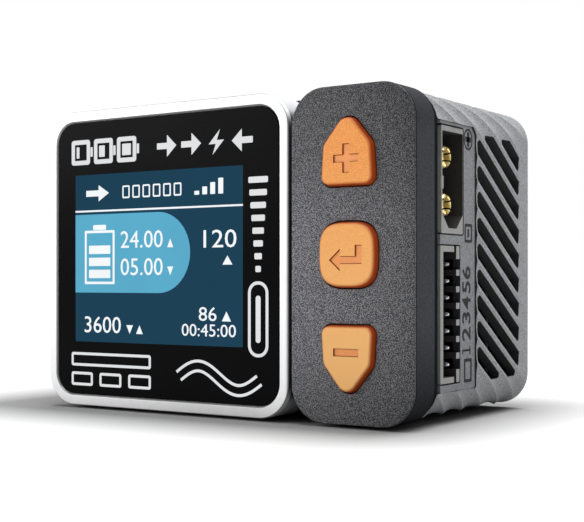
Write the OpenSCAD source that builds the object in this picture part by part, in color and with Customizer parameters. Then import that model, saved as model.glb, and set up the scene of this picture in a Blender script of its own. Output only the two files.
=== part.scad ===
// Balance battery charger: display and control modules in front of a ridged, vented shell.
// +X is the right side seen from the front, +Y the back, +Z up. The origin is on the table
// plane, under the middle of the overall box.

/* [Body] */
// Width across both front modules
body_w = 70.8; // [69:0.2:76]
// Height of the front modules
body_h = 49.5; // [49:0.25:53]
// Depth from the front faces to the rear edge of the shell
body_d = 41.5; // [41:0.5:50]
// Corner radius of the front modules
corner_r = 5.5; // [4.5:0.1:6]
// Lift of the body above the table on its feet
foot_lift = 0.5; // [0.3:0.1:0.7]

/* [Front modules] */
// Depth of the display and control modules
module_d = 6.8; // [6.8:0.1:7.4]
// Gap between the two modules
module_gap = 0.5; // [0.3:0.1:0.8]
// Width of the metal ring round the cover glass
ring_w = 1.85; // [1.4:0.05:2.2]
// Width of the lit area of the screen
screen_w = 35.04; // [33:0.1:36]
// Height of the lit area of the screen
screen_h = 28.03; // [26:0.1:30]

/* [Buttons] */
// Travel of each button
button_travel = 0.5; // [0.2:0.05:0.5]
// How far the buttons stand out of the faceplate
button_proud = 1.0; // [0.6:0.1:1.4]
// Width of the plus and minus buttons
button_w = 9.1; // [8.6:0.1:9.6]
// Gap between a button and the edge of its opening
button_gap = 0.2; // [0.15:0.05:0.3]

/* [Shell] */
// Wall thickness of the shell
shell_wall = 1.8; // [1.6:0.1:1.8]
// Number of ridges round the shell
ridge_count = 57; // [54:1:60]
// Fall of a ridge per millimetre of depth
ridge_slope = 0.63; // [0.5:0.01:0.7]
// Height of one vent opening, measured upright
vent_open = 2.8; // [2:0.1:3]

/* [Connectors] */
// Diameter of the bullet pins in the power connectors
bullet_d = 3.5; // [3.5:0.1:3.5]
// Distance between the two bullet pins
bullet_pitch = 7.2; // [7.2:0.1:7.2]
// Distance between neighbouring balance pins
balance_pitch = 2.5; // [2.5:0.1:2.5]
// Number of balance pins
balance_count = 7; // [5:1:7]

/* [Fan] */
// Side of the square fan frame
fan_w = 30; // [28:0.5:30]
// Thickness of the fan
fan_d = 7; // [7:0.1:8]
// Number of fan blades
blade_count = 7; // [5:1:9]

/* [Hidden] */
$fn = 48;
slip = 0.05;
cut = 1;

// Main planes along the depth
front_y = -(body_d + button_proud) / 2 + button_proud;
back_y = front_y + body_d;
module_back_y = front_y + module_d;
groove_w = 1.2;
shell_front_y = module_back_y + groove_w;
plate_back_y = shell_front_y + 0.8;

// Front modules
mid_z = foot_lift + body_h / 2;
display_w = body_h;
display_x = -body_w / 2 + display_w / 2;
control_w = body_w - display_w - module_gap;
control_x = body_w / 2 - control_w / 2;
ring_d = 1;
glass_d = 0.8;
glass_w = display_w - 2 * ring_w - 2 * slip;
glass_back_y = front_y + ring_d;
web_d = 0.6;
screen_x = display_x - 1.35;
panel_w = screen_w + 6.4;
panel_h = screen_h + 5;
panel_front_y = glass_back_y + web_d + slip;
panel_d = 1.6;
light_d = 1.5;
display_pcb_y = module_back_y - 1.55;
pcb_d = 1;
module_wall = 1.7;
display_post = 19.8;
control_post_x = 5;
control_post_z = 20.7;
post_bore_r = 0.85;

// Faceplate and buttons
face_rim = 0.4;
face_d = 1.2;
face_back_y = front_y + face_d;
control_ledge = 1.8;
gusset = [4.9, 4.05];
cap_flange = 0.8;
cap_flange_y = face_back_y + 0.1;
cap_back_y = cap_flange_y + 0.7;
cap_round = 1.5;
cap_taper = 0.4;
button_x = control_x - 0.3;
plus_z = [mid_z + 10, mid_z + 16.1, mid_z + 19.8];
minus_z = [mid_z - 10.2, mid_z - 16, mid_z - 19.9];
enter_w = 9.65;
icon_depth = 0.3;
stroke = 1.15;
plunger_r = 1.6;
plunger_back_y = cap_back_y + 1.35;
keypad_pcb_y = module_back_y - 1.75;
switch_w = 6;
switch_front_y = keypad_pcb_y - 2.2;
switch_z = [mid_z + 13.95, mid_z, mid_z - 14.15];

// Shell
shell_in = 0.3;
shell_w = body_w - 2 * shell_in;
shell_h = body_h - 2 * shell_in;
shell_r = corner_r - 0.2;
inner_w = shell_w - 2 * shell_wall;
inner_h = shell_h - 2 * shell_wall;
inner_r = shell_r - shell_wall;
rear_chamfer = 1.2;
ledge_w = 1;
ledge_d = 1.2;
panel_y0 = back_y - 2;
panel_y1 = back_y - 0.3;

// Ridge pattern: arc length round the section plus a share of the depth is constant on a ridge
side_run = shell_h - 2 * shell_r;
top_run = shell_w - 2 * shell_r;
corner_run = PI / 2 * shell_r;
ridge_pitch = 2 * (side_run + top_run) / ridge_count + 4 * corner_run / ridge_count;
side_bottom = mid_z - side_run / 2;
side_top = mid_z + side_run / 2;
vent_phase = 37.19;
left_run = side_run + 2 * corner_run + top_run;
vent_y = [front_y + 21.55, front_y + 37.45];
vent_z = [mid_z - 19.4, mid_z + 19.05];

// Connector panel on the right side
recess_x = shell_w / 2 - 0.45;
recess_y1 = shell_front_y + 13.2;
recess_z = [mid_z - 20.35, mid_z + 19.9];
port_x = recess_x;
output_y = front_y + 13.2;
output_z = mid_z + 11.25;
header_y = front_y + 12.65;
header_z = mid_z - 8.8;
port_len = 16;
port_w = 8.1;
port_wall = 0.8;
port_shift = 0.4;
port_depth = 8;
port_body = 10.45;
header_len = balance_pitch * (balance_count - 1) + 5.5;
header_w = 6.4;
header_wall = 0.9;
header_back_wall = 1.2;
pin_row_y = header_y + 0.37;
header_depth = 8.5;
slot_w = 1.6;
pin_w = 0.64;
notch_gap = 0.2;
output_pcb_x0 = 22.6;
output_pcb_x1 = port_x - port_body;

// Main board and what stands on it
rail_x = [-21, 3];
rail_w = 4;
rail_z = [mid_z - 20.85, mid_z - 18.25];
sheet_d = 0.2;
main_pcb_z0 = rail_z[1] + sheet_d;
main_pcb_z1 = main_pcb_z0 + 1.6;
main_pcb_x = [-32, output_pcb_x0];
main_pcb_y = [front_y + 10.75, front_y + 37.75];
pcb_screw_y = [front_y + 13.2, front_y + 35.2];

// Heatsink and transistors
sink_y = [front_y + 21.25, front_y + 37.25];
sink_z = [mid_z - 20, mid_z + 20.25];
sink_base = 2;
fin_x1 = 32.6;
fin_w = 1;
fin_y = [1.9, 5.75, 9.75, 13.9];
pad_d = 0.4;
transistor_y = [4.2, 12.2];
transistor_w = 7;
transistor_d = 3.2;
transistor_z = [mid_z - 11, mid_z + 4];
hole_drop = 3;

// Components on the main board: the core of the transformer has two windows round its coil
transformer = [-7, 4.6];
core_w = 17;
core_d = 11;
core_h = 16;
core_leg = 3;
bulk_at = [-24, 4.6];
bulk_r = 7;
bulk_h = 25;
fuse_x = [-18.5, -8.5];
fuse_r = 1.7;
choke_at = [9, 2];
choke_h = 4.6;
choke_r = 5.6;
buzzer_at = [-27.5, -5.9];
buzzer_r = 3.2;

// Ribbon cables behind the two front modules
ribbon_x = [[-8, 4], [17.6, 20.8]];
ribbon_z = mid_z - 7.5;
ribbon_d = 0.3;

// Fan
fan_x = -17;
fan_y1 = panel_y0 - slip;
fan_y0 = fan_y1 - fan_d;
fan_bore_r = fan_w / 2 - 0.7;
blade_r = fan_bore_r - 0.6;
hub_r = 6.5;
hub_wall = 0.8;
strut_d = 1.3;
shaft_r = 0.75;
bearing_gap = 0.03;
bearing_r = 1.6;
fan_hole = fan_w / 2 - 3;

// Ports in the back panel
rear_x = 9.5;
mains_z = mid_z + 11.25;
mains_w = 20.4;
mains_h = 11.2;
mains_pin_r = 1.2;
mains_pitch = 8.6;
dc_z = mid_z - 1.25;
usb_w = 9;
usb_h = 3.2;
usb_z = main_pcb_z1 + usb_h / 2;

// Screws
screw_r = 0.8;
screw_head_r = 1.4;
screw_head_d = 1.1;
case_screw_r = 0.95;
case_screw_x = 14.6;
case_screw_z = [mid_z - 20.35, mid_z + 20.35];
flush_head_r = 1.9;
flush_head_d = 0.8;
boss_r = 2;
boss_d = 6.5;

// Feet
foot_r = 4;
foot_x = 18;
foot_y = [front_y + 12.25, front_y + 34.25];
foot_seat = 0.6;

// ---------- helpers ----------

// Outline in the XZ plane, given a depth along Y
module slab_xz(y0, y1)
    translate([0, y1, 0]) rotate([90, 0, 0]) linear_extrude(height = y1 - y0) children();

// Outline in the YZ plane, given a thickness along X
module slab_yz(x0, x1)
    translate([x0, 0, 0]) rotate([90, 0, 90]) linear_extrude(height = x1 - x0) children();

// Outline in the XY plane, given a height along Z
module slab_xy(z0, z1)
    translate([0, 0, z0]) linear_extrude(height = z1 - z0) children();

// Box between two corners
module box(x, y, z)
    translate([x[0], y[0], z[0]]) cube([x[1] - x[0], y[1] - y[0], z[1] - z[0]]);

// Cylinder along Y between two depths
module rod_y(x, z, r, y0, y1)
    translate([x, y1, z]) rotate([90, 0, 0]) cylinder(h = y1 - y0, r = r);

// Cylinder along X between two positions
module rod_x(y, z, r, x0, x1)
    translate([x0, y, z]) rotate([0, 90, 0]) cylinder(h = x1 - x0, r = r);

// Cylinder along Z between two heights
module rod_z(x, y, r, z0, z1)
    translate([x, y, z0]) cylinder(h = z1 - z0, r = r);

// Rounded rectangle about the origin
module rounded(w, h, r) {
    square([w - 2 * r, h], center = true);
    square([w, h - 2 * r], center = true);
    for (sx = [-1, 1], sz = [-1, 1])
        translate([sx * (w / 2 - r), sz * (h / 2 - r)]) circle(r = r);
}

// Slot with round ends about the origin
module stadium(w, h) {
    square([w - h, h], center = true);
    for (sx = [-1, 1])
        translate([sx * (w - h) / 2, 0]) circle(d = h);
}

// Places children at the four corners of a rectangle in the XZ plane
module at_corners(x, z, dx, dz)
    for (sx = [-1, 1], sz = [-1, 1])
        translate([x + sx * dx, 0, z + sz * dz]) children();

// ---------- shell, frame and panels ----------

// Height of the middle of vent k at a depth on the right and left sides
function right_vent(k, y) = side_bottom + vent_phase - k * ridge_pitch - ridge_slope * y;
function left_vent(k, y) = side_top + left_run - vent_phase - k * ridge_pitch + ridge_slope * y;

// Vent openings of one side in the YZ plane
module vents_2d(left)
    intersection() {
        translate([vent_y[0], vent_z[0]])
            square([vent_y[1] - vent_y[0], vent_z[1] - vent_z[0]]);
        for (k = left ? [16:30] : [-3:8])
            polygon([for (edge = [[0, -1], [1, -1], [1, 1], [0, 1]])
                let (y = vent_y[edge[0]], middle = left ? left_vent(k, y) : right_vent(k, y))
                [y, middle + edge[1] * vent_open / 2]]);
    }

// Opening for a connector, open towards the front edge of the shell
module notch(y, z, w, h)
    box([recess_x - 3, shell_w / 2 + cut], [shell_front_y - cut, y + w / 2 + notch_gap],
        [z - h / 2 - notch_gap, z + h / 2 + notch_gap]);

// Outer block of the shell with its rear edges chamfered
module shell_block() {
    c = rear_chamfer;
    intersection() {
        slab_xz(shell_front_y, back_y) translate([0, mid_z]) rounded(shell_w, shell_h, shell_r);
        slab_xy(0, body_h + 2) polygon([
            [-shell_w / 2, shell_front_y], [shell_w / 2, shell_front_y],
            [shell_w / 2, back_y - c], [shell_w / 2 - c, back_y],
            [-shell_w / 2 + c, back_y], [-shell_w / 2, back_y - c]]);
        slab_yz(-body_w / 2, body_w / 2) polygon([
            [shell_front_y, mid_z - shell_h / 2], [back_y - c, mid_z - shell_h / 2],
            [back_y, mid_z - shell_h / 2 + c], [back_y, mid_z + shell_h / 2 - c],
            [back_y - c, mid_z + shell_h / 2], [shell_front_y, mid_z + shell_h / 2]]);
    }
}

module main_shell()
    color([0.55, 0.56, 0.57])
        difference() {
            shell_block();
            slab_xz(shell_front_y - cut, panel_y0 - ledge_d)
                translate([0, mid_z]) rounded(inner_w, inner_h, inner_r);
            slab_xz(panel_y0 - ledge_d - cut, back_y + cut)
                translate([0, mid_z])
                    rounded(inner_w - 2 * ledge_w, inner_h - 2 * ledge_w, inner_r - ledge_w);
            slab_xz(panel_y0, back_y + cut)
                translate([0, mid_z]) rounded(inner_w, inner_h, inner_r);
            slab_yz(recess_x, shell_w / 2 + cut) polygon([
                [shell_front_y - cut, recess_z[0]], [recess_y1, recess_z[0]],
                [recess_y1, recess_z[1] - 1.2], [recess_y1 - 1.2, recess_z[1]],
                [shell_front_y - cut, recess_z[1]]]);
            notch(output_y, output_z, port_w, port_len);
            notch(header_y, header_z, header_w, header_len);
            slab_yz(inner_w / 2 - cut, shell_w / 2 + cut) vents_2d(false);
            slab_yz(-shell_w / 2 - cut, -inner_w / 2 + cut) vents_2d(true);
            for (sx = [-1, 1], y = foot_y)
                rod_z(sx * foot_x, y, foot_r + slip, 0, foot_lift + shell_in + foot_seat);
        }

// Ring-shaped slots of the fan grille about the origin
module grille_2d()
    difference() {
        for (r = [5, 8.4, 11.8])
            difference() {
                circle(r = r + 2);
                circle(r = r);
            }
        for (a = [45, 135])
            rotate(a) square([fan_w, 1.6], center = true);
    }

module back_panel()
    color([0.12, 0.12, 0.13])
        difference() {
            slab_xz(panel_y0, panel_y1)
                translate([0, mid_z]) rounded(inner_w - 0.3, inner_h - 0.3, inner_r - 0.15);
            slab_xz(panel_y0 - cut, panel_y1 + cut) {
                translate([fan_x, mid_z]) grille_2d();
                translate([rear_x, mains_z]) rounded(mains_w - 1.4 + 2 * slip, mains_h - 1 + 2 * slip, 2.05);
                translate([rear_x, dc_z]) square([port_len + 0.3, port_w + 0.3], center = true);
                translate([rear_x, usb_z]) stadium(usb_w + 0.3, usb_h + 0.3);
            }
            for (sx = [-1, 1], z = case_screw_z) {
                rod_y(sx * case_screw_x, z, case_screw_r + 0.15, panel_y0 - cut, panel_y1 + cut);
                rod_y(sx * case_screw_x, z, flush_head_r + 0.1,
                    panel_y1 - flush_head_d - slip, panel_y1 + cut);
            }
            at_corners(fan_x, mid_z, fan_hole, fan_hole) {
                rod_y(0, 0, 1.25, panel_y0 - cut, panel_y1 + cut);
                rod_y(0, 0, flush_head_r + 0.1, panel_y1 - flush_head_d - slip, panel_y1 + cut);
            }
        }

// Screw hole through the mid frame with a recess for the head
module sunk_hole(front) {
    rod_y(0, 0, screw_r + 0.2, front, plate_back_y + cut);
    rod_y(0, 0, screw_head_r + 0.1, plate_back_y - screw_head_d - 2 * slip, plate_back_y + cut);
}

module mid_frame()
    color([0.07, 0.07, 0.08])
        difference() {
            union() {
                slab_xz(module_back_y, shell_front_y)
                    translate([0, mid_z]) rounded(body_w - 1, body_h - 1, corner_r - 0.5);
                slab_xz(shell_front_y, plate_back_y)
                    translate([0, mid_z]) rounded(inner_w - 0.3, inner_h - 0.3, inner_r - 0.15);
                for (x = rail_x)
                    box([x - rail_w / 2, x + rail_w / 2], [plate_back_y - slip, main_pcb_y[1]], rail_z);
                for (sx = [-1, 1], z = case_screw_z)
                    rod_y(sx * case_screw_x, z, boss_r, plate_back_y - slip, plate_back_y + boss_d);
                at_corners(display_x, mid_z, display_post, display_post)
                    rod_y(0, 0, boss_r, display_pcb_y + pcb_d, module_back_y + slip);
                at_corners(control_x, mid_z, control_post_x, control_post_z)
                    rod_y(0, 0, boss_r, keypad_pcb_y + pcb_d, module_back_y + slip);
            }
            for (sx = [-1, 1], z = case_screw_z)
                rod_y(sx * case_screw_x, z, case_screw_r + slip,
                    plate_back_y + 1, plate_back_y + boss_d + cut);
            at_corners(display_x, mid_z, display_post, display_post)
                sunk_hole(display_pcb_y);
            at_corners(control_x, mid_z, control_post_x, control_post_z)
                sunk_hole(keypad_pcb_y);
            for (x = ribbon_x)
                box([x[0] - 0.6, x[1] + 0.6], [module_back_y - cut, plate_back_y + cut],
                    [ribbon_z - 0.5, ribbon_z + 0.8]);
            for (x = rail_x, y = pcb_screw_y)
                rod_z(x, y, post_bore_r, rail_z[0] - cut, rail_z[1] + cut);
        }

module rubber_feet()
    color([0.05, 0.05, 0.05])
        for (sx = [-1, 1], y = foot_y)
            rod_z(sx * foot_x, y, foot_r, 0, foot_lift + shell_in + foot_seat);

// Screw along Y whose head faces the back
module screw_y(r, head_r, head_d, tip_y, seat_y) {
    rod_y(0, 0, r, tip_y, seat_y + head_d / 2);
    difference() {
        rod_y(0, 0, head_r, seat_y, seat_y + head_d);
        for (a = [0, 90])
            rotate([0, a, 0]) box([-head_r * 0.6, head_r * 0.6],
                [seat_y + head_d * 0.5, seat_y + head_d + cut], [-0.2, 0.2]);
    }
}

module case_screws()
    color([0.25, 0.25, 0.27])
        for (sx = [-1, 1], z = case_screw_z)
            translate([sx * case_screw_x, 0, z])
                screw_y(case_screw_r, flush_head_r, flush_head_d,
                    plate_back_y + 1.5, panel_y1 - flush_head_d);

module module_screws()
    color([0.3, 0.3, 0.32]) {
        seat_y = plate_back_y - screw_head_d - 2 * slip;
        at_corners(display_x, mid_z, display_post, display_post)
            screw_y(screw_r, screw_head_r, screw_head_d, display_pcb_y - 2, seat_y);
        at_corners(control_x, mid_z, control_post_x, control_post_z)
            screw_y(screw_r, screw_head_r, screw_head_d, keypad_pcb_y - 2, seat_y);
    }

// ---------- display module ----------

module display_ring()
    color([0.8, 0.8, 0.81])
        slab_xz(front_y, glass_back_y)
            translate([display_x, mid_z])
                difference() {
                    rounded(display_w, display_w, corner_r);
                    rounded(display_w - 2 * ring_w, display_w - 2 * ring_w, corner_r - ring_w);
                }

module cover_glass()
    color([0.02, 0.02, 0.03])
        slab_xz(glass_back_y - glass_d, glass_back_y)
            translate([display_x, mid_z]) rounded(glass_w, glass_w, corner_r - ring_w - slip);

module display_housing()
    color([0.72, 0.73, 0.74])
        difference() {
            union() {
                difference() {
                    slab_xz(glass_back_y, module_back_y)
                        translate([display_x, mid_z]) rounded(display_w, display_w, corner_r);
                    slab_xz(glass_back_y + web_d, module_back_y + cut)
                        translate([display_x, mid_z])
                            rounded(display_w - 2 * module_wall, display_w - 2 * module_wall,
                                corner_r - module_wall);
                }
                at_corners(display_x, mid_z, display_post, display_post)
                    rod_y(0, 0, boss_r - 0.1, glass_back_y + web_d / 2, display_pcb_y);
            }
            box([screen_x - screen_w / 2 - 1.5, screen_x + screen_w / 2 + 1.5],
                [front_y, glass_back_y + web_d + slip],
                [mid_z - screen_h / 2 - 1.5, mid_z + screen_h / 2 + 1.5]);
            at_corners(display_x, mid_z, display_post, display_post)
                rod_y(0, 0, post_bore_r, display_pcb_y - 2.5, display_pcb_y + cut);
        }

module lcd_panel()
    color([0.12, 0.25, 0.34])
        box([screen_x - panel_w / 2, screen_x + panel_w / 2],
            [panel_front_y, panel_front_y + panel_d],
            [mid_z - panel_h / 2, mid_z + panel_h / 2]);

module lcd_backlight()
    color([0.9, 0.92, 0.94])
        box([screen_x - panel_w / 2 + 0.4, screen_x + panel_w / 2 - 0.4],
            [panel_front_y + panel_d, panel_front_y + panel_d + light_d],
            [mid_z - panel_h / 2 + 0.4, mid_z + panel_h / 2 - 0.4]);

module display_pcb()
    color([0.05, 0.35, 0.2])
        difference() {
            slab_xz(display_pcb_y, display_pcb_y + pcb_d)
                translate([display_x, mid_z]) rounded(display_w - 4.1, display_w - 4.1, 3.5);
            at_corners(display_x, mid_z, display_post, display_post)
                rod_y(0, 0, screw_r + 0.2, display_pcb_y - cut, display_pcb_y + pcb_d + cut);
        }

// ---------- control module ----------

// Open square in each corner of the control module that carries a screw
module gussets_2d()
    for (sx = [-1, 1], sz = [-1, 1])
        translate([sx * (control_w / 2 - control_ledge - gusset[0] / 2),
                   sz * (body_h / 2 - control_ledge - gusset[1] / 2)])
            square([gusset[0] + slip, gusset[1] + slip], center = true);

module control_housing()
    color([0.2, 0.21, 0.23])
        difference() {
            slab_xz(front_y, module_back_y)
                translate([control_x, mid_z]) rounded(control_w, body_h, corner_r);
            slab_xz(front_y - cut, face_back_y)
                translate([control_x, mid_z])
                    rounded(control_w - 2 * face_rim, body_h - 2 * face_rim, corner_r - face_rim);
            slab_xz(face_back_y - cut, keypad_pcb_y)
                translate([control_x, mid_z])
                    difference() {
                        rounded(control_w - 2 * control_ledge, body_h - 2 * control_ledge, 4);
                        gussets_2d();
                    }
            slab_xz(keypad_pcb_y - slip, module_back_y + cut)
                translate([control_x, mid_z])
                    rounded(control_w - 2 * control_ledge, body_h - 2 * control_ledge, 4);
            at_corners(control_x, mid_z, control_post_x, control_post_z)
                rod_y(0, 0, post_bore_r, keypad_pcb_y - 2.5, keypad_pcb_y + cut);
        }

// Five-sided button outline with round corners, narrower at its shoulder; z holds its base,
// shoulder and tip
module pointed_2d(z, grow)
    offset(r = cap_round + grow) offset(delta = -cap_round)
        polygon([[-button_w / 2, z[0]], [button_w / 2, z[0]], [button_w / 2 - cap_taper, z[1]],
                 [0, z[2] + 0.9 * sign(z[2] - z[0])], [-button_w / 2 + cap_taper, z[1]]]);

// Square outline with bulging sides
module squircle_2d(w, power)
    polygon([for (a = [0:6:354])
        [w / 2 * sign(cos(a)) * pow(abs(cos(a)), 2 / power),
         w / 2 * sign(sin(a)) * pow(abs(sin(a)), 2 / power)]]);

// Outline of button 0 (plus), 1 (enter) or 2 (minus), grown by a margin
module button_2d(i, grow)
    translate([button_x, 0])
        if (i == 0)
            pointed_2d(plus_z, grow);
        else if (i == 1)
            translate([0, mid_z]) squircle_2d(enter_w + 2 * grow, 3.2);
        else
            pointed_2d(minus_z, grow);

module keypad_faceplate()
    color([0.3, 0.3, 0.32])
        slab_xz(front_y, face_back_y)
            difference() {
                translate([control_x, mid_z])
                    rounded(control_w - 2 * face_rim - 2 * slip, body_h - 2 * face_rim - 2 * slip,
                        corner_r - face_rim - slip);
                for (i = [0:2])
                    button_2d(i, button_gap);
            }

// Button cap with a retaining flange; the child outline is engraved in its face
module button_cap(i)
    color([0.93, 0.5, 0.2])
        difference() {
            union() {
                slab_xz(front_y - button_proud, cap_back_y) button_2d(i, 0);
                slab_xz(cap_flange_y, cap_back_y) button_2d(i, cap_flange);
            }
            slab_xz(front_y - button_proud - cut, front_y - button_proud + icon_depth)
                translate([button_x, 0]) children();
        }

module button_plus()
    button_cap(0)
        translate([0, switch_z[0]]) {
            square([4.25, stroke], center = true);
            square([stroke, 4.25], center = true);
        }

module button_enter()
    button_cap(1)
        translate([0, mid_z - 0.4]) {
            translate([-1.6, -0.9]) square([4.2, 0.8]);
            translate([1.8, -0.9]) square([0.8, 3]);
            polygon([[-2.8, -0.5], [-1, -2.2], [-1, 1.2]]);
        }

module button_minus()
    button_cap(2)
        translate([0, switch_z[2]]) square([4.25, stroke], center = true);

// Moving plunger of one switch
module plunger(i)
    color([0.1, 0.1, 0.1])
        rod_y(button_x, switch_z[i], plunger_r, cap_back_y, plunger_back_y);

module plunger_plus() plunger(0);

module plunger_enter() plunger(1);

module plunger_minus() plunger(2);

module switch_bodies()
    color([0.2, 0.2, 0.22])
        for (z = switch_z)
            difference() {
                box([button_x - switch_w / 2, button_x + switch_w / 2],
                    [switch_front_y, keypad_pcb_y], [z - switch_w / 2, z + switch_w / 2]);
                rod_y(button_x, z, plunger_r + 0.15, switch_front_y - cut,
                    plunger_back_y + button_travel + 0.2);
            }

module keypad_pcb()
    color([0.05, 0.35, 0.2])
        difference() {
            slab_xz(keypad_pcb_y, keypad_pcb_y + pcb_d)
                translate([control_x, mid_z])
                    rounded(control_w - 2 * control_ledge - 0.4, body_h - 2 * control_ledge - 0.4, 3.8);
            at_corners(control_x, mid_z, control_post_x, control_post_z)
                rod_y(0, 0, screw_r + 0.2, keypad_pcb_y - cut, keypad_pcb_y + pcb_d + cut);
        }

// ---------- connectors ----------
// Power connectors are drawn with their long side along Y and their mouth facing +Z at z = 0

// Outline of a power connector: square at one end, chamfered at the other
module port_2d(margin) {
    l = port_len / 2 - margin;
    w = port_w / 2 - margin;
    c = 2.4 - 0.4 * margin;
    polygon([[-w, l], [w, l], [w, -l + c], [w - c, -l], [-w + c, -l], [-w, -l + c]]);
}

// Housing whose outside is the child outline; the mouth can be off the middle of it
module port_housing(shift)
    difference() {
        translate([0, 0, -port_body]) linear_extrude(height = port_body) children();
        translate([shift, 0, -port_depth]) linear_extrude(height = port_depth + cut) port_2d(port_wall);
        for (sy = [-1, 1])
            translate([shift, sy * bullet_pitch / 2, -port_body - cut])
                cylinder(h = port_body, r = bullet_d / 2 + slip);
    }

module port_pins()
    for (sy = [-1, 1])
        translate([0, sy * bullet_pitch / 2, 0])
            difference() {
                union() {
                    translate([0, 0, -port_body]) cylinder(h = port_body - 1.6, r = bullet_d / 2);
                    translate([0, 0, -1.7]) cylinder(h = 0.7, r1 = bullet_d / 2, r2 = bullet_d / 2 - 0.5);
                    translate([0, 0, -port_body - 2]) cylinder(h = 2.5, r = 1.2);
                }
                for (a = [0, 90])
                    rotate(a) translate([-bullet_d, -0.2, -6.5]) cube([2 * bullet_d, 0.4, 6.5]);
            }

// Turns a power connector so that its mouth faces +X and its square end is up
module face_right()
    translate([port_x, output_y, output_z]) rotate([90, 0, 90]) children();

// Turns a power connector so that its mouth faces +Y and its square end is at -X
module face_back()
    translate([rear_x, panel_y1, dc_z]) rotate([-90, 90, 0]) children();

module output_housing()
    color([0.58, 0.58, 0.57])
        face_right() port_housing(port_shift) square([port_w, port_len], center = true);

module output_pins()
    color([0.85, 0.65, 0.3])
        face_right() translate([port_shift, 0, 0]) port_pins();

module balance_header()
    color([0.55, 0.55, 0.54])
        difference() {
            box([output_pcb_x1, port_x], [header_y - header_w / 2, header_y + header_w / 2],
                [header_z - header_len / 2, header_z + header_len / 2]);
            box([port_x - header_depth, port_x + cut],
                [header_y - header_w / 2 + header_wall, header_y + header_w / 2 - header_back_wall],
                [header_z - header_len / 2 + header_wall, header_z + header_len / 2 - header_wall]);
            for (i = [0:balance_count - 1])
                box([output_pcb_x1 - cut, port_x],
                    [pin_row_y - pin_w / 2 - slip, pin_row_y + pin_w / 2 + slip],
                    [pin_z(i) - pin_w / 2 - slip, pin_z(i) + pin_w / 2 + slip]);
            for (i = [0:balance_count - 1])
                box([port_x - 2.5, port_x + cut], [header_y, header_y + header_w],
                    [pin_z(i) - slot_w / 2, pin_z(i) + slot_w / 2]);
        }

function pin_z(i) = header_z + (i - (balance_count - 1) / 2) * balance_pitch;

module balance_pins()
    color([0.8, 0.75, 0.6])
        for (i = [0:balance_count - 1])
            box([output_pcb_x0 - 0.7, port_x - 0.45], [pin_row_y - pin_w / 2, pin_row_y + pin_w / 2],
                [pin_z(i) - pin_w / 2, pin_z(i) + pin_w / 2]);

module output_pcb()
    color([0.05, 0.35, 0.2])
        difference() {
            box([output_pcb_x0, output_pcb_x1], [plate_back_y, recess_y1 - 0.7],
                [mid_z - 20.5, mid_z + 20.5]);
            for (sz = [-1, 1])
                rod_x(output_y + port_shift, output_z + sz * bullet_pitch / 2, 1.2 + slip,
                    output_pcb_x0 - cut, output_pcb_x1 + cut);
            for (i = [0:balance_count - 1])
                box([output_pcb_x0 - cut, output_pcb_x1 + cut],
                    [pin_row_y - pin_w / 2 - slip, pin_row_y + pin_w / 2 + slip],
                    [pin_z(i) - pin_w / 2 - slip, pin_z(i) + pin_w / 2 + slip]);
        }

// ---------- cooling of the power stage ----------

module heatsink()
    color([0.7, 0.71, 0.72])
        difference() {
            union() {
                box([output_pcb_x0, output_pcb_x0 + sink_base], sink_y, sink_z);
                for (y = fin_y)
                    box([output_pcb_x0 + sink_base - slip, fin_x1], [y - fin_w / 2, y + fin_w / 2], sink_z);
            }
            for (y = transistor_y)
                rod_x(y, transistor_z[1] - hole_drop, screw_r + slip,
                    output_pcb_x0 - cut, output_pcb_x0 + sink_base + cut);
        }

module heatsink_screws()
    color([0.3, 0.3, 0.32])
        for (y = transistor_y)
            translate([0, y, transistor_z[1] - hole_drop]) {
                seat = output_pcb_x0 - pad_d - transistor_d;
                rod_x(0, 0, screw_r, seat - screw_head_d / 2, output_pcb_x0 + sink_base);
                rod_x(0, 0, screw_head_r, seat - screw_head_d, seat);
            }

module thermal_pad()
    color([0.6, 0.75, 0.85])
        difference() {
            box([output_pcb_x0 - pad_d, output_pcb_x0], [sink_y[0] + 0.4, sink_y[1] - 0.4],
                [transistor_z[0] - 1, transistor_z[1] + 1]);
            for (y = transistor_y)
                rod_x(y, transistor_z[1] - hole_drop, screw_r + 0.2,
                    output_pcb_x0 - pad_d - cut, output_pcb_x0 + cut);
        }

module power_transistors()
    color([0.08, 0.08, 0.09]) {
        x1 = output_pcb_x0 - pad_d;
        for (y = transistor_y) {
            difference() {
                box([x1 - transistor_d, x1], [y - transistor_w / 2, y + transistor_w / 2], transistor_z);
                rod_x(y, transistor_z[1] - hole_drop, screw_r + 0.2, x1 - transistor_d - cut, x1 + cut);
            }
            for (k = [-1:1])
                box([x1 - 1.8, x1 - 1.2], [y + 2.3 * k - 0.4, y + 2.3 * k + 0.4],
                    [main_pcb_z1, transistor_z[0] + slip]);
        }
    }

// ---------- main board ----------

// Holes for the screws that hold the main board on its rails
module pcb_holes()
    for (x = rail_x, y = pcb_screw_y)
        rod_z(x, y, screw_r + 0.2, main_pcb_z0 - cut, main_pcb_z1 + cut);

module main_pcb()
    color([0.05, 0.35, 0.2])
        difference() {
            box(main_pcb_x, main_pcb_y, [main_pcb_z0, main_pcb_z1]);
            pcb_holes();
            box([output_pcb_x0 - 0.9, output_pcb_x0 + cut], [main_pcb_y[0] - cut, pin_row_y + 0.6],
                [main_pcb_z0 - cut, main_pcb_z1 + cut]);
        }

module insulation_sheet()
    color([0.85, 0.85, 0.7])
        difference() {
            box([main_pcb_x[0], main_pcb_x[1] - 0.4], main_pcb_y, [main_pcb_z0 - sheet_d, main_pcb_z0]);
            pcb_holes();
        }

module pcb_screws()
    color([0.3, 0.3, 0.32])
        for (x = rail_x, y = pcb_screw_y) {
            rod_z(x, y, screw_r, rail_z[0] + 0.3, main_pcb_z1 + screw_head_d / 2);
            rod_z(x, y, screw_head_r, main_pcb_z1, main_pcb_z1 + screw_head_d);
        }

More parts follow.
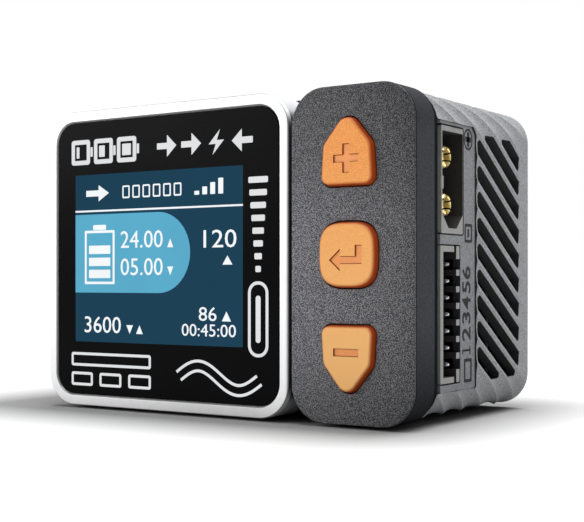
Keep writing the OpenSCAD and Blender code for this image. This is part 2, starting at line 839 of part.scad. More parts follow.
module transformer_core()
    color([0.15, 0.15, 0.16])
        translate([transformer[0], transformer[1], 0])
            difference() {
                box([-core_w / 2, core_w / 2], [-core_d / 2, core_d / 2],
                    [main_pcb_z1, main_pcb_z1 + core_h]);
                for (sx = [-1, 1])
                    translate([sx * core_w / 4, 0, 0])
                        box([-core_w / 4 + core_leg - 0.5, core_w / 4 - core_leg + 0.5],
                            [-core_d, core_d], [main_pcb_z1 + core_leg, main_pcb_z1 + core_h - core_leg]);
            }

module transformer_winding()
    color([0.85, 0.75, 0.2])
        translate([transformer[0], transformer[1], 0])
            for (sx = [-1, 1])
                translate([sx * core_w / 4, 0, 0])
                    box([-core_w / 4 + core_leg - 0.4, core_w / 4 - core_leg + 0.4],
                        [-core_d / 2 - 0.5, core_d / 2 + 0.5],
                        [main_pcb_z1 + core_leg + 0.1, main_pcb_z1 + core_h - core_leg - 0.1]);

module bulk_capacitor()
    color([0.1, 0.12, 0.2]) {
        rod_z(bulk_at[0], bulk_at[1], bulk_r, main_pcb_z1, main_pcb_z1 + bulk_h);
        rod_z(bulk_at[0], bulk_at[1], bulk_r - 0.6, main_pcb_z1 + bulk_h - slip, main_pcb_z1 + bulk_h + 0.4);
    }

module filter_capacitors()
    color([0.15, 0.18, 0.3])
        for (can = [[-4.6, -6, 2.9], [8.6, -6, 2.9], [-12, -3.3, 1.6]])
            rod_z(can[0], can[1], can[2], main_pcb_z1, main_pcb_z1 + 4 * can[2]);

module power_inductor()
    color([0.3, 0.3, 0.31])
        slab_xy(main_pcb_z1, main_pcb_z1 + 6)
            translate([17.3, -5.4]) rounded(7, 6.6, 1);

module line_choke()
    color([0.55, 0.3, 0.12])
        translate([choke_at[0], choke_at[1], main_pcb_z1 + choke_r])
            rotate([90, 0, 0])
                rotate_extrude()
                    translate([choke_r - 1.7, 0]) rounded(3.4, choke_h, 0.8);

module fuse()
    color([0.9, 0.9, 0.88])
        rod_x(pcb_screw_y[0], main_pcb_z1 + fuse_r, fuse_r, fuse_x[0], fuse_x[1]);

module buzzer()
    color([0.06, 0.06, 0.06])
        difference() {
            rod_z(buzzer_at[0], buzzer_at[1], buzzer_r, main_pcb_z1, main_pcb_z1 + 4.5);
            rod_z(buzzer_at[0], buzzer_at[1], 0.8, main_pcb_z1 + 2, main_pcb_z1 + 5);
        }

// Flat cable from a front board through the mid frame and down to the main board
module ribbon(x, y0) {
    y1 = main_pcb_y[0] + 0.1;
    slab_yz(x[0], x[1])
        polygon([[y0, ribbon_z], [y0, ribbon_z + ribbon_d], [y1 + ribbon_d, ribbon_z + ribbon_d],
                 [y1 + ribbon_d, main_pcb_z1], [y1, main_pcb_z1], [y1, ribbon_z]]);
}

module ribbon_cables()
    color([0.75, 0.75, 0.75]) {
        ribbon(ribbon_x[0], display_pcb_y + pcb_d);
        ribbon(ribbon_x[1], keypad_pcb_y + pcb_d);
    }

// ---------- rear ports ----------

module mains_inlet()
    color([0.06, 0.06, 0.06])
        difference() {
            union() {
                slab_xz(panel_y0 - 10, panel_y0)
                    translate([rear_x, mains_z]) rounded(mains_w, mains_h, 2);
                slab_xz(panel_y0 - slip, panel_y1)
                    translate([rear_x, mains_z]) rounded(mains_w - 1.4, mains_h - 1, 2);
            }
            slab_xz(panel_y1 - 9, panel_y1 + cut)
                translate([rear_x, mains_z]) stadium(16.6, 8.2);
            for (sx = [-1, 1])
                rod_y(rear_x + sx * mains_pitch / 2, mains_z, mains_pin_r + slip, 0, panel_y1);
        }

module mains_pins()
    color([0.78, 0.78, 0.76])
        for (sx = [-1, 1])
            rod_y(rear_x + sx * mains_pitch / 2, mains_z, mains_pin_r, panel_y0 - 12, panel_y1 - 1.5);

module dc_input_housing()
    color([0.9, 0.75, 0.15])
        face_back() port_housing(0) port_2d(0);

module dc_input_pins()
    color([0.85, 0.65, 0.3])
        face_back() port_pins();

module usb_shell()
    color([0.75, 0.75, 0.76])
        difference() {
            slab_xz(panel_y1 - 7.5, panel_y1)
                translate([rear_x, usb_z]) stadium(usb_w, usb_h);
            slab_xz(panel_y1 - 6.8, panel_y1 + cut)
                translate([rear_x, usb_z]) stadium(usb_w - 0.6, usb_h - 0.6);
        }

module usb_tongue()
    color([0.08, 0.08, 0.08])
        slab_xz(panel_y1 - 6.8, panel_y1 - 0.8)
            translate([rear_x, usb_z]) rounded(6.7, 0.7, 0.3);

// ---------- fan ----------

module fan_frame()
    color([0.07, 0.07, 0.07])
        translate([fan_x, 0, mid_z])
            difference() {
                union() {
                    difference() {
                        slab_xz(fan_y0, fan_y1) rounded(fan_w, fan_w, 2.5);
                        rod_y(0, 0, fan_bore_r, fan_y0 - cut, fan_y1 + cut);
                    }
                    rod_y(0, 0, hub_r - 0.5, fan_y1 - strut_d, fan_y1);
                    for (a = [30, 150, 270])
                        rotate([0, a, 0])
                            box([hub_r - 1.5, fan_bore_r + 0.4], [fan_y1 - strut_d, fan_y1], [-0.9, 0.9]);
                }
                at_corners(0, 0, fan_hole, fan_hole)
                    rod_y(0, 0, 1.2, fan_y0 - cut, fan_y1 + cut);
            }

module fan_bearing()
    color([0.75, 0.6, 0.3])
        translate([fan_x, 0, mid_z])
            difference() {
                rod_y(0, 0, bearing_r, fan_y0 + 1.6, fan_y1 - strut_d);
                rod_y(0, 0, shaft_r + bearing_gap, fan_y0, fan_y1);
            }

module fan_stator()
    color([0.6, 0.35, 0.15])
        translate([fan_x, 0, mid_z])
            difference() {
                rod_y(0, 0, 5.1, fan_y0 + 1.9, fan_y1 - strut_d - 0.7);
                rod_y(0, 0, bearing_r + slip, fan_y0, fan_y1);
                for (a = [0:90:270])
                    rotate([0, a, 0])
                        box([2.9, 6], [fan_y0, fan_y1], [-0.5, 0.5]);
            }

module fan_rotor()
    color([0.1, 0.1, 0.1])
        translate([fan_x, 0, mid_z]) {
            difference() {
                rod_y(0, 0, hub_r, fan_y0 + 0.4, fan_y1 - strut_d - 0.4);
                rod_y(0, 0, hub_r - hub_wall, fan_y0 + 1.2, fan_y1);
            }
            rod_y(0, 0, shaft_r, fan_y0 + 1, fan_y1 - strut_d - 0.3);
            intersection() {
                difference() {
                    rod_y(0, 0, blade_r, fan_y0 + 0.6, fan_y1 - strut_d - 0.6);
                    rod_y(0, 0, hub_r - hub_wall / 2, fan_y0, fan_y1);
                }
                for (i = [0:blade_count - 1])
                    rotate([0, i * 360 / blade_count, 0])
                        translate([0, (fan_y0 + fan_y1 - strut_d) / 2, 0])
                            rotate([38, 0, 0])
                                box([hub_r - hub_wall, blade_r + 1], [-5, 5], [-0.35, 0.35]);
            }
        }

module fan_screws()
    color([0.25, 0.25, 0.27])
        at_corners(fan_x, mid_z, fan_hole, fan_hole)
            screw_y(1.1, flush_head_r, flush_head_d, fan_y0 + 1, panel_y1 - flush_head_d);

main_shell();
back_panel();
mid_frame();
rubber_feet();
case_screws();
module_screws();
display_ring();
cover_glass();
display_housing();
lcd_panel();
lcd_backlight();
display_pcb();
control_housing();
keypad_faceplate();
button_plus();
button_enter();
button_minus();
plunger_plus();
plunger_enter();
plunger_minus();
switch_bodies();
keypad_pcb();
output_housing();
output_pins();
balance_header();
balance_pins();
output_pcb();
heatsink();
heatsink_screws();
thermal_pad();
power_transistors();
main_pcb();
insulation_sheet();
pcb_screws();
transformer_core();
transformer_winding();
bulk_capacitor();
filter_capacitors();
power_inductor();
line_choke();
fuse();
buzzer();
ribbon_cables();
mains_inlet();
mains_pins();
dc_input_housing();
dc_input_pins();
usb_shell();
usb_tongue();
fan_frame();
fan_stator();
fan_bearing();
fan_rotor();
fan_screws();
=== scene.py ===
import math

import bmesh
import bpy
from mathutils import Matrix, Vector


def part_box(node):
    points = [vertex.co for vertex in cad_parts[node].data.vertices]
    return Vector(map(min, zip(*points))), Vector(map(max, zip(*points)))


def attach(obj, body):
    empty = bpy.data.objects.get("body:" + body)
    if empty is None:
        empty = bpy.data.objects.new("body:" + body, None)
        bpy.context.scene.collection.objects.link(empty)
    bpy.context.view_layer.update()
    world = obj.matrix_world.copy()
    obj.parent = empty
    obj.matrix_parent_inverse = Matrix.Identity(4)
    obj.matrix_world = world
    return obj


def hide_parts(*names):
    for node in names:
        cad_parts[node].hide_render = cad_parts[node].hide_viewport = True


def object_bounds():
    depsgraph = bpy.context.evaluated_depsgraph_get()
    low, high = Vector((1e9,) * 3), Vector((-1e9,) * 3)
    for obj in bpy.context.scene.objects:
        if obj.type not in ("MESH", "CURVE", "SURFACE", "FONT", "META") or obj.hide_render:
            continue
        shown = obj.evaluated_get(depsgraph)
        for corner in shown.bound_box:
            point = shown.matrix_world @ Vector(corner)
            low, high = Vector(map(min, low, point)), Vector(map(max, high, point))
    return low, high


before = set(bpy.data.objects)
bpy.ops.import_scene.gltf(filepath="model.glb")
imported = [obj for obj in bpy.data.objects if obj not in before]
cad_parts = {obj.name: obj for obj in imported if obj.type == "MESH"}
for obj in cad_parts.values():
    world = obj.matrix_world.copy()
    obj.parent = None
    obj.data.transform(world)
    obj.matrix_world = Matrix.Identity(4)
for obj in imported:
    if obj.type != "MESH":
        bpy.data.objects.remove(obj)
cad_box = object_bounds()

# Everything below is worked out in millimetres and turned into metres when a mesh is made.
MM = 0.001
CHASSIS = "chassis"

# Angles in degrees above which an edge stays hard or is softened
SHARP = 35
SHELL_SHARP = 24
SOFTENED = 40


# ---------- places read from the frame ----------

def span(node):
    """Lowest and highest x, y and z of a CAD node, in millimetres."""
    low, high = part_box(node)
    return [(low[i] / MM, high[i] / MM) for i in range(3)]


def middle(pair):
    return (pair[0] + pair[1]) / 2


def size(pair):
    return pair[1] - pair[0]


def about(centre, half):
    return (centre - half, centre + half)


def quarter(steps):
    """Angles from 0 to a quarter turn."""
    return [math.pi / 2 * i / steps for i in range(steps + 1)]


RING_X, RING_Y, RING_Z = span("display_ring")
GLASS_X, GLASS_Y, GLASS_Z = span("cover_glass")
HOUSING_X, HOUSING_Y, HOUSING_Z = span("control_housing")
FACE_Z = span("keypad_faceplate")[2]
SHELL_X, SHELL_Y, SHELL_Z = span("main_shell")
PORT_X, PORT_Y, PORT_Z = span("output_housing")
BULLET_X, BULLET_Y, BULLET_Z = span("output_pins")
HEADER_X, HEADER_Y, HEADER_Z = span("balance_header")
PIN_X, PIN_Y = span("balance_pins")[:2]
LCD_X, LCD_Z = span("lcd_panel")[::2]

MID_Z = middle(SHELL_Z)
CORNER_R = 5.5
RING_W = 1.85
SCREEN_W = 35.04
SCREEN_H = 28.03
SHELL_R = 5.3
SHELL_WALL = 1.8
REAR_ROUND = 0.8
LEDGE_W = 1.0
LEDGE_D = 1.2
SEAT_D = 2.0
FOOT_R = 4.0

# Ridges: the distance round the section plus a share of the depth is constant along a ridge
RIDGES = 57
RIDGE_SLOPE = 0.63
RIDGE_DEPTH = 0.5
RIDGE_FADE = 4.0
SIDE_RELIEF = 0.45
RELIEF_RUN = 3.0
STEPS_PER_RIDGE = 8
PHASE = 37.19
SIDE_RUN = size(SHELL_Z) - 2 * SHELL_R
TOP_RUN = size(SHELL_X) - 2 * SHELL_R
CORNER_RUN = math.pi / 2 * SHELL_R
GIRTH = 2 * (SIDE_RUN + TOP_RUN) + 4 * CORNER_RUN
PITCH = GIRTH / RIDGES
SIDE_LOW = MID_Z - SIDE_RUN / 2
SIDE_HIGH = MID_Z + SIDE_RUN / 2
VENT_OPEN = 2.8
VENT_LEAST = (4, 1.2)
VENT_Y = (RING_Y[0] + 21.55, RING_Y[0] + 37.45)
VENT_Z = (MID_Z - 19.4, MID_Z + 19.05)

# Connector panel on the right
PANEL_FACE_X = PORT_X[1]
WINDOW_Y = (SHELL_Y[0], SHELL_Y[0] + 13.2)
WINDOW_Z = (MID_Z - 20.35, MID_Z + 19.9)
WINDOW_CHAMFER = 1.2


# ---------- outlines ----------

def arc(cx, cy, r, start, end, steps):
    """Points of an arc; the angles are in degrees."""
    angles = [math.radians(start + (end - start) * i / steps) for i in range(steps + 1)]
    return [(cx + r * math.cos(a), cy + r * math.sin(a)) for a in angles]


def rounded_rect(cx, cy, w, h, r, steps=8):
    """Outline of a rounded rectangle as a function of its inset."""
    def outline(inset=0.0):
        radius = max(r - inset, 0.02)
        dx = w / 2 - inset - radius
        dy = h / 2 - inset - radius
        points = []
        for sx, sy, start in ((1, 1, 0), (-1, 1, 90), (-1, -1, 180), (1, -1, 270)):
            points += arc(cx + sx * dx, cy + sy * dy, radius, start, start + 90, steps)
        return points
    return outline


def rounded_box(u, v, r, steps=8):
    """Rounded rectangle between two pairs of limits."""
    return rounded_rect(middle(u), middle(v), size(u), size(v), r, steps)


def circle(cx, cy, r, steps=32):
    def outline(inset=0.0):
        return arc(cx, cy, r - inset, 0, 360 - 360 / steps, steps - 1)
    return outline


def squircle(cx, cy, w, power=4.5, steps=64):
    """Square outline with bulging sides."""
    def outline(inset=0.0):
        half = w / 2 - inset
        points = []
        for i in range(steps):
            a = 2 * math.pi * i / steps
            c, s = math.cos(a), math.sin(a)
            points.append((cx + half * math.copysign(abs(c) ** (2 / power), c),
                           cy + half * math.copysign(abs(s) ** (2 / power), s)))
        return points
    return outline


def anticlockwise(corners):
    area = sum(a[0] * b[1] - b[0] * a[1] for a, b in zip(corners, corners[1:] + corners[:1]))
    return corners if area > 0 else corners[::-1]


def moved_corners(corners, inset):
    """Corners of a polygon whose sides move in, each with the directions of its two sides."""
    sides = []
    for here, after in zip(corners, corners[1:] + corners[:1]):
        p = Vector(here)
        d = (Vector(after) - p).normalized()
        sides.append((p + Vector((-d.y, d.x)) * inset, d))
    moved = []
    for (p, d), (q, e) in zip(sides[-1:] + sides[:-1], sides):
        cross = d.x * e.y - d.y * e.x
        moved.append((p + d * (((q.x - p.x) * e.y - (q.y - p.y) * e.x) / cross), d, e, cross))
    return moved


def polygon(corners):
    """Outline with sharp corners, as a function of its inset."""
    return lambda inset=0.0: [tuple(m[0]) for m in moved_corners(corners, inset)]


def round_polygon(corners, radii, steps=6):
    """Outline of a convex polygon with round corners, as a function of its inset."""
    def outline(inset=0.0):
        points = []
        for i, (corner, d, e, cross) in enumerate(moved_corners(corners, inset)):
            radius = max(radii[i] - inset, 0.02)
            turn = math.atan2(cross, d.dot(e))
            start = corner - d * radius * math.tan(turn / 2)
            centre = start + Vector((-d.y, d.x)) * radius
            first = math.degrees(math.atan2(start.y - centre.y, start.x - centre.x))
            points += arc(centre.x, centre.y, radius, first, first + math.degrees(turn), steps)
        return points
    return outline


def clip(corners, axis, limit, below):
    """The part of a polygon on one side of a limit along an axis."""
    kept = []
    for p, q in zip(corners, corners[1:] + corners[:1]):
        p_in = p[axis] <= limit if below else p[axis] >= limit
        q_in = q[axis] <= limit if below else q[axis] >= limit
        if p_in:
            kept.append(p)
        if p_in != q_in:
            t = (limit - p[axis]) / (q[axis] - p[axis])
            kept.append((p[0] + (q[0] - p[0]) * t, p[1] + (q[1] - p[1]) * t))
    return kept


# ---------- mesh building ----------

def facing_front(u, v, d):
    """Outline plane XZ, depth along Y."""
    return (u, d, v)


def facing_right(u, v, d):
    """Outline plane YZ, depth along X."""
    return (d, u, v)


def facing_down(u, v, d):
    """Outline plane XY, depth along Z."""
    return (u, v, d)


def new_object(name, data):
    """A new object in the scene."""
    obj = bpy.data.objects.new(name, data)
    bpy.context.scene.collection.objects.link(obj)
    return obj


def evaluated_mesh(obj):
    """A mesh of the object as its modifiers leave it."""
    bpy.context.view_layer.update()
    return bpy.data.meshes.new_from_object(obj.evaluated_get(bpy.context.evaluated_depsgraph_get()))


class Build:
    """Collects closed solids drawn in one outline plane and turns them into one piece."""

    def __init__(self, place):
        self.place = place
        self.verts = []
        self.faces = []

    def rings(self, rings, closed=False):
        """Skins a row of (outline points, depth) rings; an open row gets a cap at each end."""
        count = len(rings[0][0])
        first = len(self.verts)
        for points, depth in rings:
            self.verts += [self.place(u, v, depth) for u, v in points]
        last = len(rings) if closed else len(rings) - 1
        for i in range(last):
            a, b = first + i * count, first + (i + 1) % len(rings) * count
            for j in range(count):
                k = (j + 1) % count
                self.faces.append((a + j, a + k, b + k, b + j))
        if not closed:
            self.faces.append(tuple(range(first, first + count)))
            end = first + (len(rings) - 1) * count
            self.faces.append(tuple(range(end, end + count)))
        return self

    def profile(self, outline, steps, closed=False):
        """Skins one outline along (inset, depth) steps."""
        return self.rings([(outline(inset), depth) for inset, depth in steps], closed)

    def prism(self, points, d0, d1):
        return self.rings([(points, d0), (points, d1)])

    def block(self, u, v, r, steps, d0, d1):
        """A bar with rounded corners between two pairs of limits."""
        return self.prism(rounded_box(u, v, r, steps)(0), d0, d1)

    def hoop(self, outline, width, d0, d1):
        """A flat frame along the inside of an outline."""
        return self.profile(outline, [(0, d0), (0, d1), (width, d1), (width, d0)], closed=True)

    def plate(self, outline, d0, d1, round0=0.0, round1=0.0, steps=3):
        """A plate from depth d0 to d1 whose edges are rounded."""
        profile = [(round0 - round0 * math.sin(a), d0 + round0 - round0 * math.cos(a))
                   for a in quarter(steps)] if round0 else [(0, d0)]
        profile += [(round1 - round1 * math.cos(a), d1 - round1 + round1 * math.sin(a))
                    for a in quarter(steps)] if round1 else [(0, d1)]
        return self.profile(outline, profile)

    def text(self, body, u, v, d0, d1, quarter_turn=False):
        """Digits and signs fitted into the box between limits u and v."""
        curve = bpy.data.curves.new("glyphs", "FONT")
        curve.body = body
        curve.extrude = 0.5
        curve.offset = 0.02 if quarter_turn else 0.0
        curve.resolution_u = 3
        holder = new_object("glyphs", curve)
        mesh = evaluated_mesh(holder)
        made = bmesh.new()
        made.from_mesh(mesh)
        bmesh.ops.remove_doubles(made, verts=made.verts, dist=1e-5)
        points = [(p.co.y * -1, p.co.x, p.co.z) if quarter_turn else tuple(p.co) for p in made.verts]
        low = [min(p[i] for p in points) for i in range(3)]
        high = [max(p[i] for p in points) for i in range(3)]
        first = len(self.verts)
        for p in points:
            s = [(p[i] - low[i]) / (high[i] - low[i]) for i in range(3)]
            self.verts.append(self.place(u[0] + size(u) * s[0], v[0] + size(v) * s[1], d0 + (d1 - d0) * s[2]))
        self.faces += [tuple(first + c.index for c in f.verts) for f in made.faces]
        made.free()
        bpy.data.objects.remove(holder)
        bpy.data.meshes.remove(mesh)
        bpy.data.curves.remove(curve)
        return self

    def solid(self, name, material):
        """An object with outward normals, in metres."""
        mesh = bpy.data.meshes.new(name)
        mesh.from_pydata([Vector(v) * MM for v in self.verts], [], self.faces)
        tidy = bmesh.new()
        tidy.from_mesh(mesh)
        bmesh.ops.recalc_face_normals(tidy, faces=tidy.faces)
        tidy.to_mesh(mesh)
        tidy.free()
        mesh.materials.append(material)
        return new_object(name, mesh)

    def make(self, name, material, body=CHASSIS, stands_for=None, sharp=SHARP):
        obj = self.solid(name, material)
        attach(obj, body)
        if stands_for:
            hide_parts(stands_for)
        shade(obj, sharp)
        return obj


def weigh_normals(obj):
    obj.modifiers.new("normals", "WEIGHTED_NORMAL").keep_sharp = True


def shade(obj, sharp=SHARP):
    """Smooth shading with hard edges above an angle; flat faces stay flat."""
    obj.data.shade_smooth()
    obj.data.set_sharp_from_angle(angle=math.radians(sharp))
    if "normals" not in obj.modifiers:
        weigh_normals(obj)


def carve(obj, cutters, sharp=SHARP, walls=None):
    """Cuts the solids of a Build out of a piece; the cut walls may take a material of their own, in this
    script always a painted shade.
    """
    tool = cutters.solid("cutter", walls or obj.data.materials[0])
    cut = obj.modifiers.new("cut", "BOOLEAN")
    cut.operation = "DIFFERENCE"
    cut.solver = "MANIFOLD"
    cut.material_mode = "TRANSFER"
    cut.object = tool
    obj.modifiers.move(len(obj.modifiers) - 1, 0)
    normals = obj.modifiers.get("normals")
    if normals:
        obj.modifiers.remove(normals)
    result = evaluated_mesh(obj)
    obj.modifiers.remove(cut)
    obj.data = result
    bpy.data.objects.remove(tool)
    shade(obj, sharp)


# ---------- materials ----------

WHITE = (1, 1, 1, 1)
BLACK = (0, 0, 0, 1)
SPECK_EDGE = 0.07
ROUGHNESS_SPREAD = 0.07


def linear(r, g, b):
    """The linear value of a colour given in 0 to 255 as the eye sees it."""
    def channel(c):
        c /= 255
        return c / 12.92 if c <= 0.04045 else ((c + 0.055) / 1.055) ** 2.4
    return (channel(r), channel(g), channel(b), 1.0)


def feed(tree, node, inputs):
    """Sets each input of a node to a value or links it to a socket."""
    for name, value in inputs.items():
        if isinstance(value, bpy.types.NodeSocket):
            tree.links.new(value, node.inputs[name])
        else:
            node.inputs[name].default_value = value


def add(tree, kind, inputs=None, **settings):
    """A new shader node with its settings and inputs."""
    node = tree.nodes.new("ShaderNode" + kind)
    for name, value in settings.items():
        setattr(node, name, value)
    feed(tree, node, inputs or {})
    return node


def new_material(name):
    material = bpy.data.materials.new(name)
    material.use_nodes = True
    tree = material.node_tree
    return material, tree, tree.nodes["Principled BSDF"]


def noise(tree, grain_mm, detail=3.0, stretch=(1, 1, 1)):
    """Noise in object space whose features are about grain_mm wide."""
    where = add(tree, "TexCoord").outputs["Object"]
    place = add(tree, "Mapping", {"Vector": where, "Scale": stretch}).outputs["Vector"]
    scale = 1 / (grain_mm * MM)
    return add(tree, "TexNoise", {"Vector": place, "Scale": scale, "Detail": detail}).outputs["Fac"]


def ramp(tree, source, stops):
    """Colour ramp with (place, colour) stops; a number stands for a grey."""
    colours = [(at, c if isinstance(c, tuple) else (c, c, c, 1)) for at, c in stops]
    node = add(tree, "ValToRGB", {"Fac": source})
    points = node.color_ramp.elements
    points[0].position, points[0].color = colours[0]
    points[1].position, points[1].color = colours[-1]
    for place, colour in colours[1:-1]:
        points.new(place).color = colour
    return node.outputs["Color"]


def tint(colour, share):
    return tuple(min(1.0, c * share) for c in colour[:3]) + (1.0,)


def mottled(tree, colour, variation, pattern):
    """A colour that varies with a pattern."""
    colour = linear(*colour)
    return ramp(tree, pattern, [(0.3, tint(colour, 1 - variation)), (0.7, tint(colour, 1 + variation))])


def blend(tree, kind, factor, first, second):
    """Mixes two colours; factor, first and second may each be a socket or a value."""
    mix = add(tree, "Mix", {0: factor, 6: first, 7: second}, data_type="RGBA", blend_type=kind)
    return mix.outputs[2]


def along_axis(tree, axis, limits, stops):
    """Grey shares that change along an object axis between two limits in millimetres, used for painted light
    and shade.
    """
    where = add(tree, "TexCoord").outputs["Object"]
    value = add(tree, "SeparateXYZ", {"Vector": where}).outputs[axis]
    place = add(tree, "MapRange", {"Value": value, "From Min": limits[0] * MM, "From Max": limits[1] * MM})
    return ramp(tree, place.outputs["Result"], stops)


def facing(tree, stops):
    """Grey shares by how far a surface faces the front, used for painted shade: 1 straight on, 0 sideways or
    turned away.
    """
    normal = add(tree, "NewGeometry").outputs["Normal"]
    dot = add(tree, "VectorMath", {0: normal, 1: (0, -1, 0)}, operation="DOT_PRODUCT")
    return ramp(tree, dot.outputs["Value"], stops)


def surface(name, colour, roughness, metallic=0.0, grain=1.0, variation=0.12, bump=0.02, bump_grain=0.4,
            stretch=(1, 1, 1), specular=0.5, specks=None, painted_tint=None, shares=(), edges=None):
    """A solid material with colour variation, uneven roughness and a fine bump; colours are in 0 to 255.

    specks are (grain, threshold, colour). The lighter second colour, given with its shares along an axis, is
    painted light.
    shares are painted light and shade that lighten or darken colour and reflection along an axis. edges are
    painted shade: a colour and its shares by facing.
    """
    material, tree, shader = new_material(name)
    base = mottled(tree, colour, variation, noise(tree, grain, 4.0, stretch))
    if specks:
        speck_grain, speck_from, speck_colour = specks
        mask = ramp(tree, noise(tree, speck_grain, 1.0), [(speck_from, 0), (speck_from + SPECK_EDGE, 1)])
        base = blend(tree, "MIX", mask, base, linear(*speck_colour))
    if painted_tint:
        painted_tint_colour, place = painted_tint
        base = blend(tree, "MIX", along_axis(tree, *place), base, linear(*painted_tint_colour))
    shine = specular
    for share in shares:
        part = along_axis(tree, *share)
        base = blend(tree, "MULTIPLY", 1.0, base, part)
        shine = add(tree, "Math", {0: part, 1: shine}, operation="MULTIPLY").outputs[0]
    if edges:
        edge_colour, stops = edges
        base = blend(tree, "MIX", facing(tree, stops), base, linear(*edge_colour))
    rough = add(tree, "MapRange", {"Value": noise(tree, grain * 2.3, 2.0, stretch),
                                   "To Min": max(0.02, roughness - ROUGHNESS_SPREAD),
                                   "To Max": min(1.0, roughness + ROUGHNESS_SPREAD)})
    bumps = add(tree, "Bump", {"Height": noise(tree, bump_grain, 3.0, stretch), "Strength": 1.0,
                               "Distance": bump * MM})
    feed(tree, shader, {"Base Color": base, "Roughness": rough.outputs["Result"], "Metallic": metallic,
                        "Normal": bumps.outputs["Normal"], "Specular IOR Level": shine})
    return material


def glow(name, colour, strength=1.0, variation=0.03):
    """A lit display colour with a faint unevenness of the backlight; it also makes white print glow, which is
    painted light.
    """
    material, tree, shader = new_material(name)
    base = mottled(tree, colour, variation, noise(tree, 9.0, 1.0))
    feed(tree, shader, {"Emission Color": base, "Emission Strength": strength, "Base Color": BLACK,
                        "Specular IOR Level": 0.0, "Roughness": 0.6})
    return material


# Painted light and shade, as shares of the colour along an axis or by facing: (place from 0 to 1, share)
# Faceplate, painted light: brightest low in the middle and to the left, darker towards the top, the bottom
# and the right
FACE_LIGHT_UPRIGHT = [(0.0, 0.82), (0.2, 1.05), (0.55, 1.05), (0.8, 0.74), (1.0, 0.6)]
FACE_LIGHT_ACROSS = [(0.0, 1.05), (0.5, 0.98), (0.75, 0.82), (1.0, 0.62)]
# Band, painted shade: dark lines at the front seam and over the rear rounding, darker towards the bottom and
# the top
BAND_SEAM_SHADE = [(0.07, 0.1), (0.11, 1.0), (0.87, 1.0), (0.92, 0.2), (1.0, 0.05)]
BAND_UPRIGHT_SHADE = [(0.0, 0.25), (0.14, 0.6), (0.3, 1.0), (0.85, 1.0), (1.0, 0.5)]
# Ring, painted reflection: brightest at both sides, greyer across the middle; painted shade at its very right
# end
RING_PAINTED_REFLECTION = [(0.0, 1.0), (0.14, 1.0), (0.4, 0.92), (0.7, 0.8), (0.88, 0.82), (0.965, 1.0), (0.99, 1.0),
               (1.0, 0.05)]
# Shell, painted light: lighter low down, a little darker at the top
SHELL_PAINTED_LIGHT = [(0.0, 1.15), (0.3, 1.0), (0.8, 1.0), (1.0, 0.92)]
# Display housing, painted shade at its right end, in the gap to the control block
GAP_PAINTED_SHADE = [(0.0, 1.0), (0.985, 1.0), (0.995, 0.05)]
# Buttons, painted light: a lighter, yellower orange low down
BUTTON_PAINTED_LIGHT = [(0.2, 1.0), (0.5, 0.55), (0.8, 0.0)]
# Buttons, painted shade on the sides and rounded edges that turn away from the front
BUTTON_SIDE_SHADE = [(0.3, 1.0), (0.7, 0.65), (0.9, 0.35), (0.99, 0.12), (1.0, 0.0)]
# Ring, painted shade on its rounded edges
RING_EDGE_SHADE = [(0.2, 0.0), (0.4, 0.8), (0.85, 0.8), (0.96, 0.0)]

# Stone grey shell with painted light, lighter low down
SHELL_GREY = surface(
    "shell_stone_painted_light", (131, 133, 135), 0.7, grain=0.22, variation=0.45, bump=0.05, bump_grain=0.3,
    specular=0.35, shares=[(2, SHELL_Z, SHELL_PAINTED_LIGHT)])
PANEL_GREY = surface(
    "panel_grey", (116, 118, 121), 0.7, grain=0.24, variation=0.35, bump=0.03, bump_grain=0.3,
    specular=0.35)
# Satin ring with a painted reflection across it and painted shade on its rounded edges
SATIN_METAL = surface(
    "satin_metal", (236, 236, 237), 0.35, metallic=0.25, grain=1.5, variation=0.02, bump=0.003,
    bump_grain=0.2, shares=[(0, RING_X, RING_PAINTED_REFLECTION)], edges=((108, 108, 111), RING_EDGE_SHADE))
GLASS_BLACK = surface(
    "cover_black", (11, 11, 12), 0.25, grain=6.0, variation=0.08, bump=0.001, bump_grain=4.0,
    specular=0.02)
# Pale display housing with painted shade at the gap
HOUSING_LIGHT = surface(
    "housing_light_gap_shade", (176, 178, 181), 0.5, grain=1.2, variation=0.05, bump=0.01,
    shares=[(0, RING_X, GAP_PAINTED_SHADE)])
# Charcoal band with painted shade at its seams, bottom and top
BAND_DARK = surface(
    "band_charcoal_painted_shade", (47, 49, 54), 0.7, grain=0.18, variation=0.5, bump=0.012, bump_grain=0.3,
    specular=0.15, shares=[(1, HOUSING_Y, BAND_SEAM_SHADE), (2, HOUSING_Z, BAND_UPRIGHT_SHADE)])
# Speckled faceplate with painted light, brightest left of middle
FACE_SPECKLED = surface(
    "face_speckled_painted_light", (48, 48, 51), 0.6, grain=0.14, variation=0.5, bump_grain=0.16, specular=0.3,
    specks=(0.13, 0.5, (130, 130, 134)),
    shares=[(2, FACE_Z, FACE_LIGHT_UPRIGHT), (0, HOUSING_X, FACE_LIGHT_ACROSS)])
# Orange buttons with painted light low down and painted shade on their sides
ORANGE = surface(
    "button_orange_painted_light", (216, 139, 66), 0.5, grain=0.2, variation=0.2, bump=0.012, bump_grain=0.25,
    specular=0.3, painted_tint=((226, 170, 102), (2, FACE_Z, BUTTON_PAINTED_LIGHT)), edges=((158, 60, 8), BUTTON_SIDE_SHADE))
ORANGE_FLOOR = surface("button_engraving", (222, 140, 72), 0.5, grain=0.2, variation=0.1, bump=0.006)
# Painted shade: dark orange on the walls of the engraved signs
ORANGE_ENGRAVING_SHADE = surface("button_engraving_shade", (150, 62, 14), 0.6, grain=0.3, variation=0.1, bump=0.004)
PORT_GREY = surface("port_grey", (132, 132, 130), 0.5, grain=0.6, variation=0.05, bump=0.008)
# Painted shade: near black on the cut walls of the vents, the connector recess and the holes round the
# connectors
VENT_SHADE = surface("vent_wall_painted_shade", (27, 28, 29), 0.8, grain=0.5, variation=0.15)
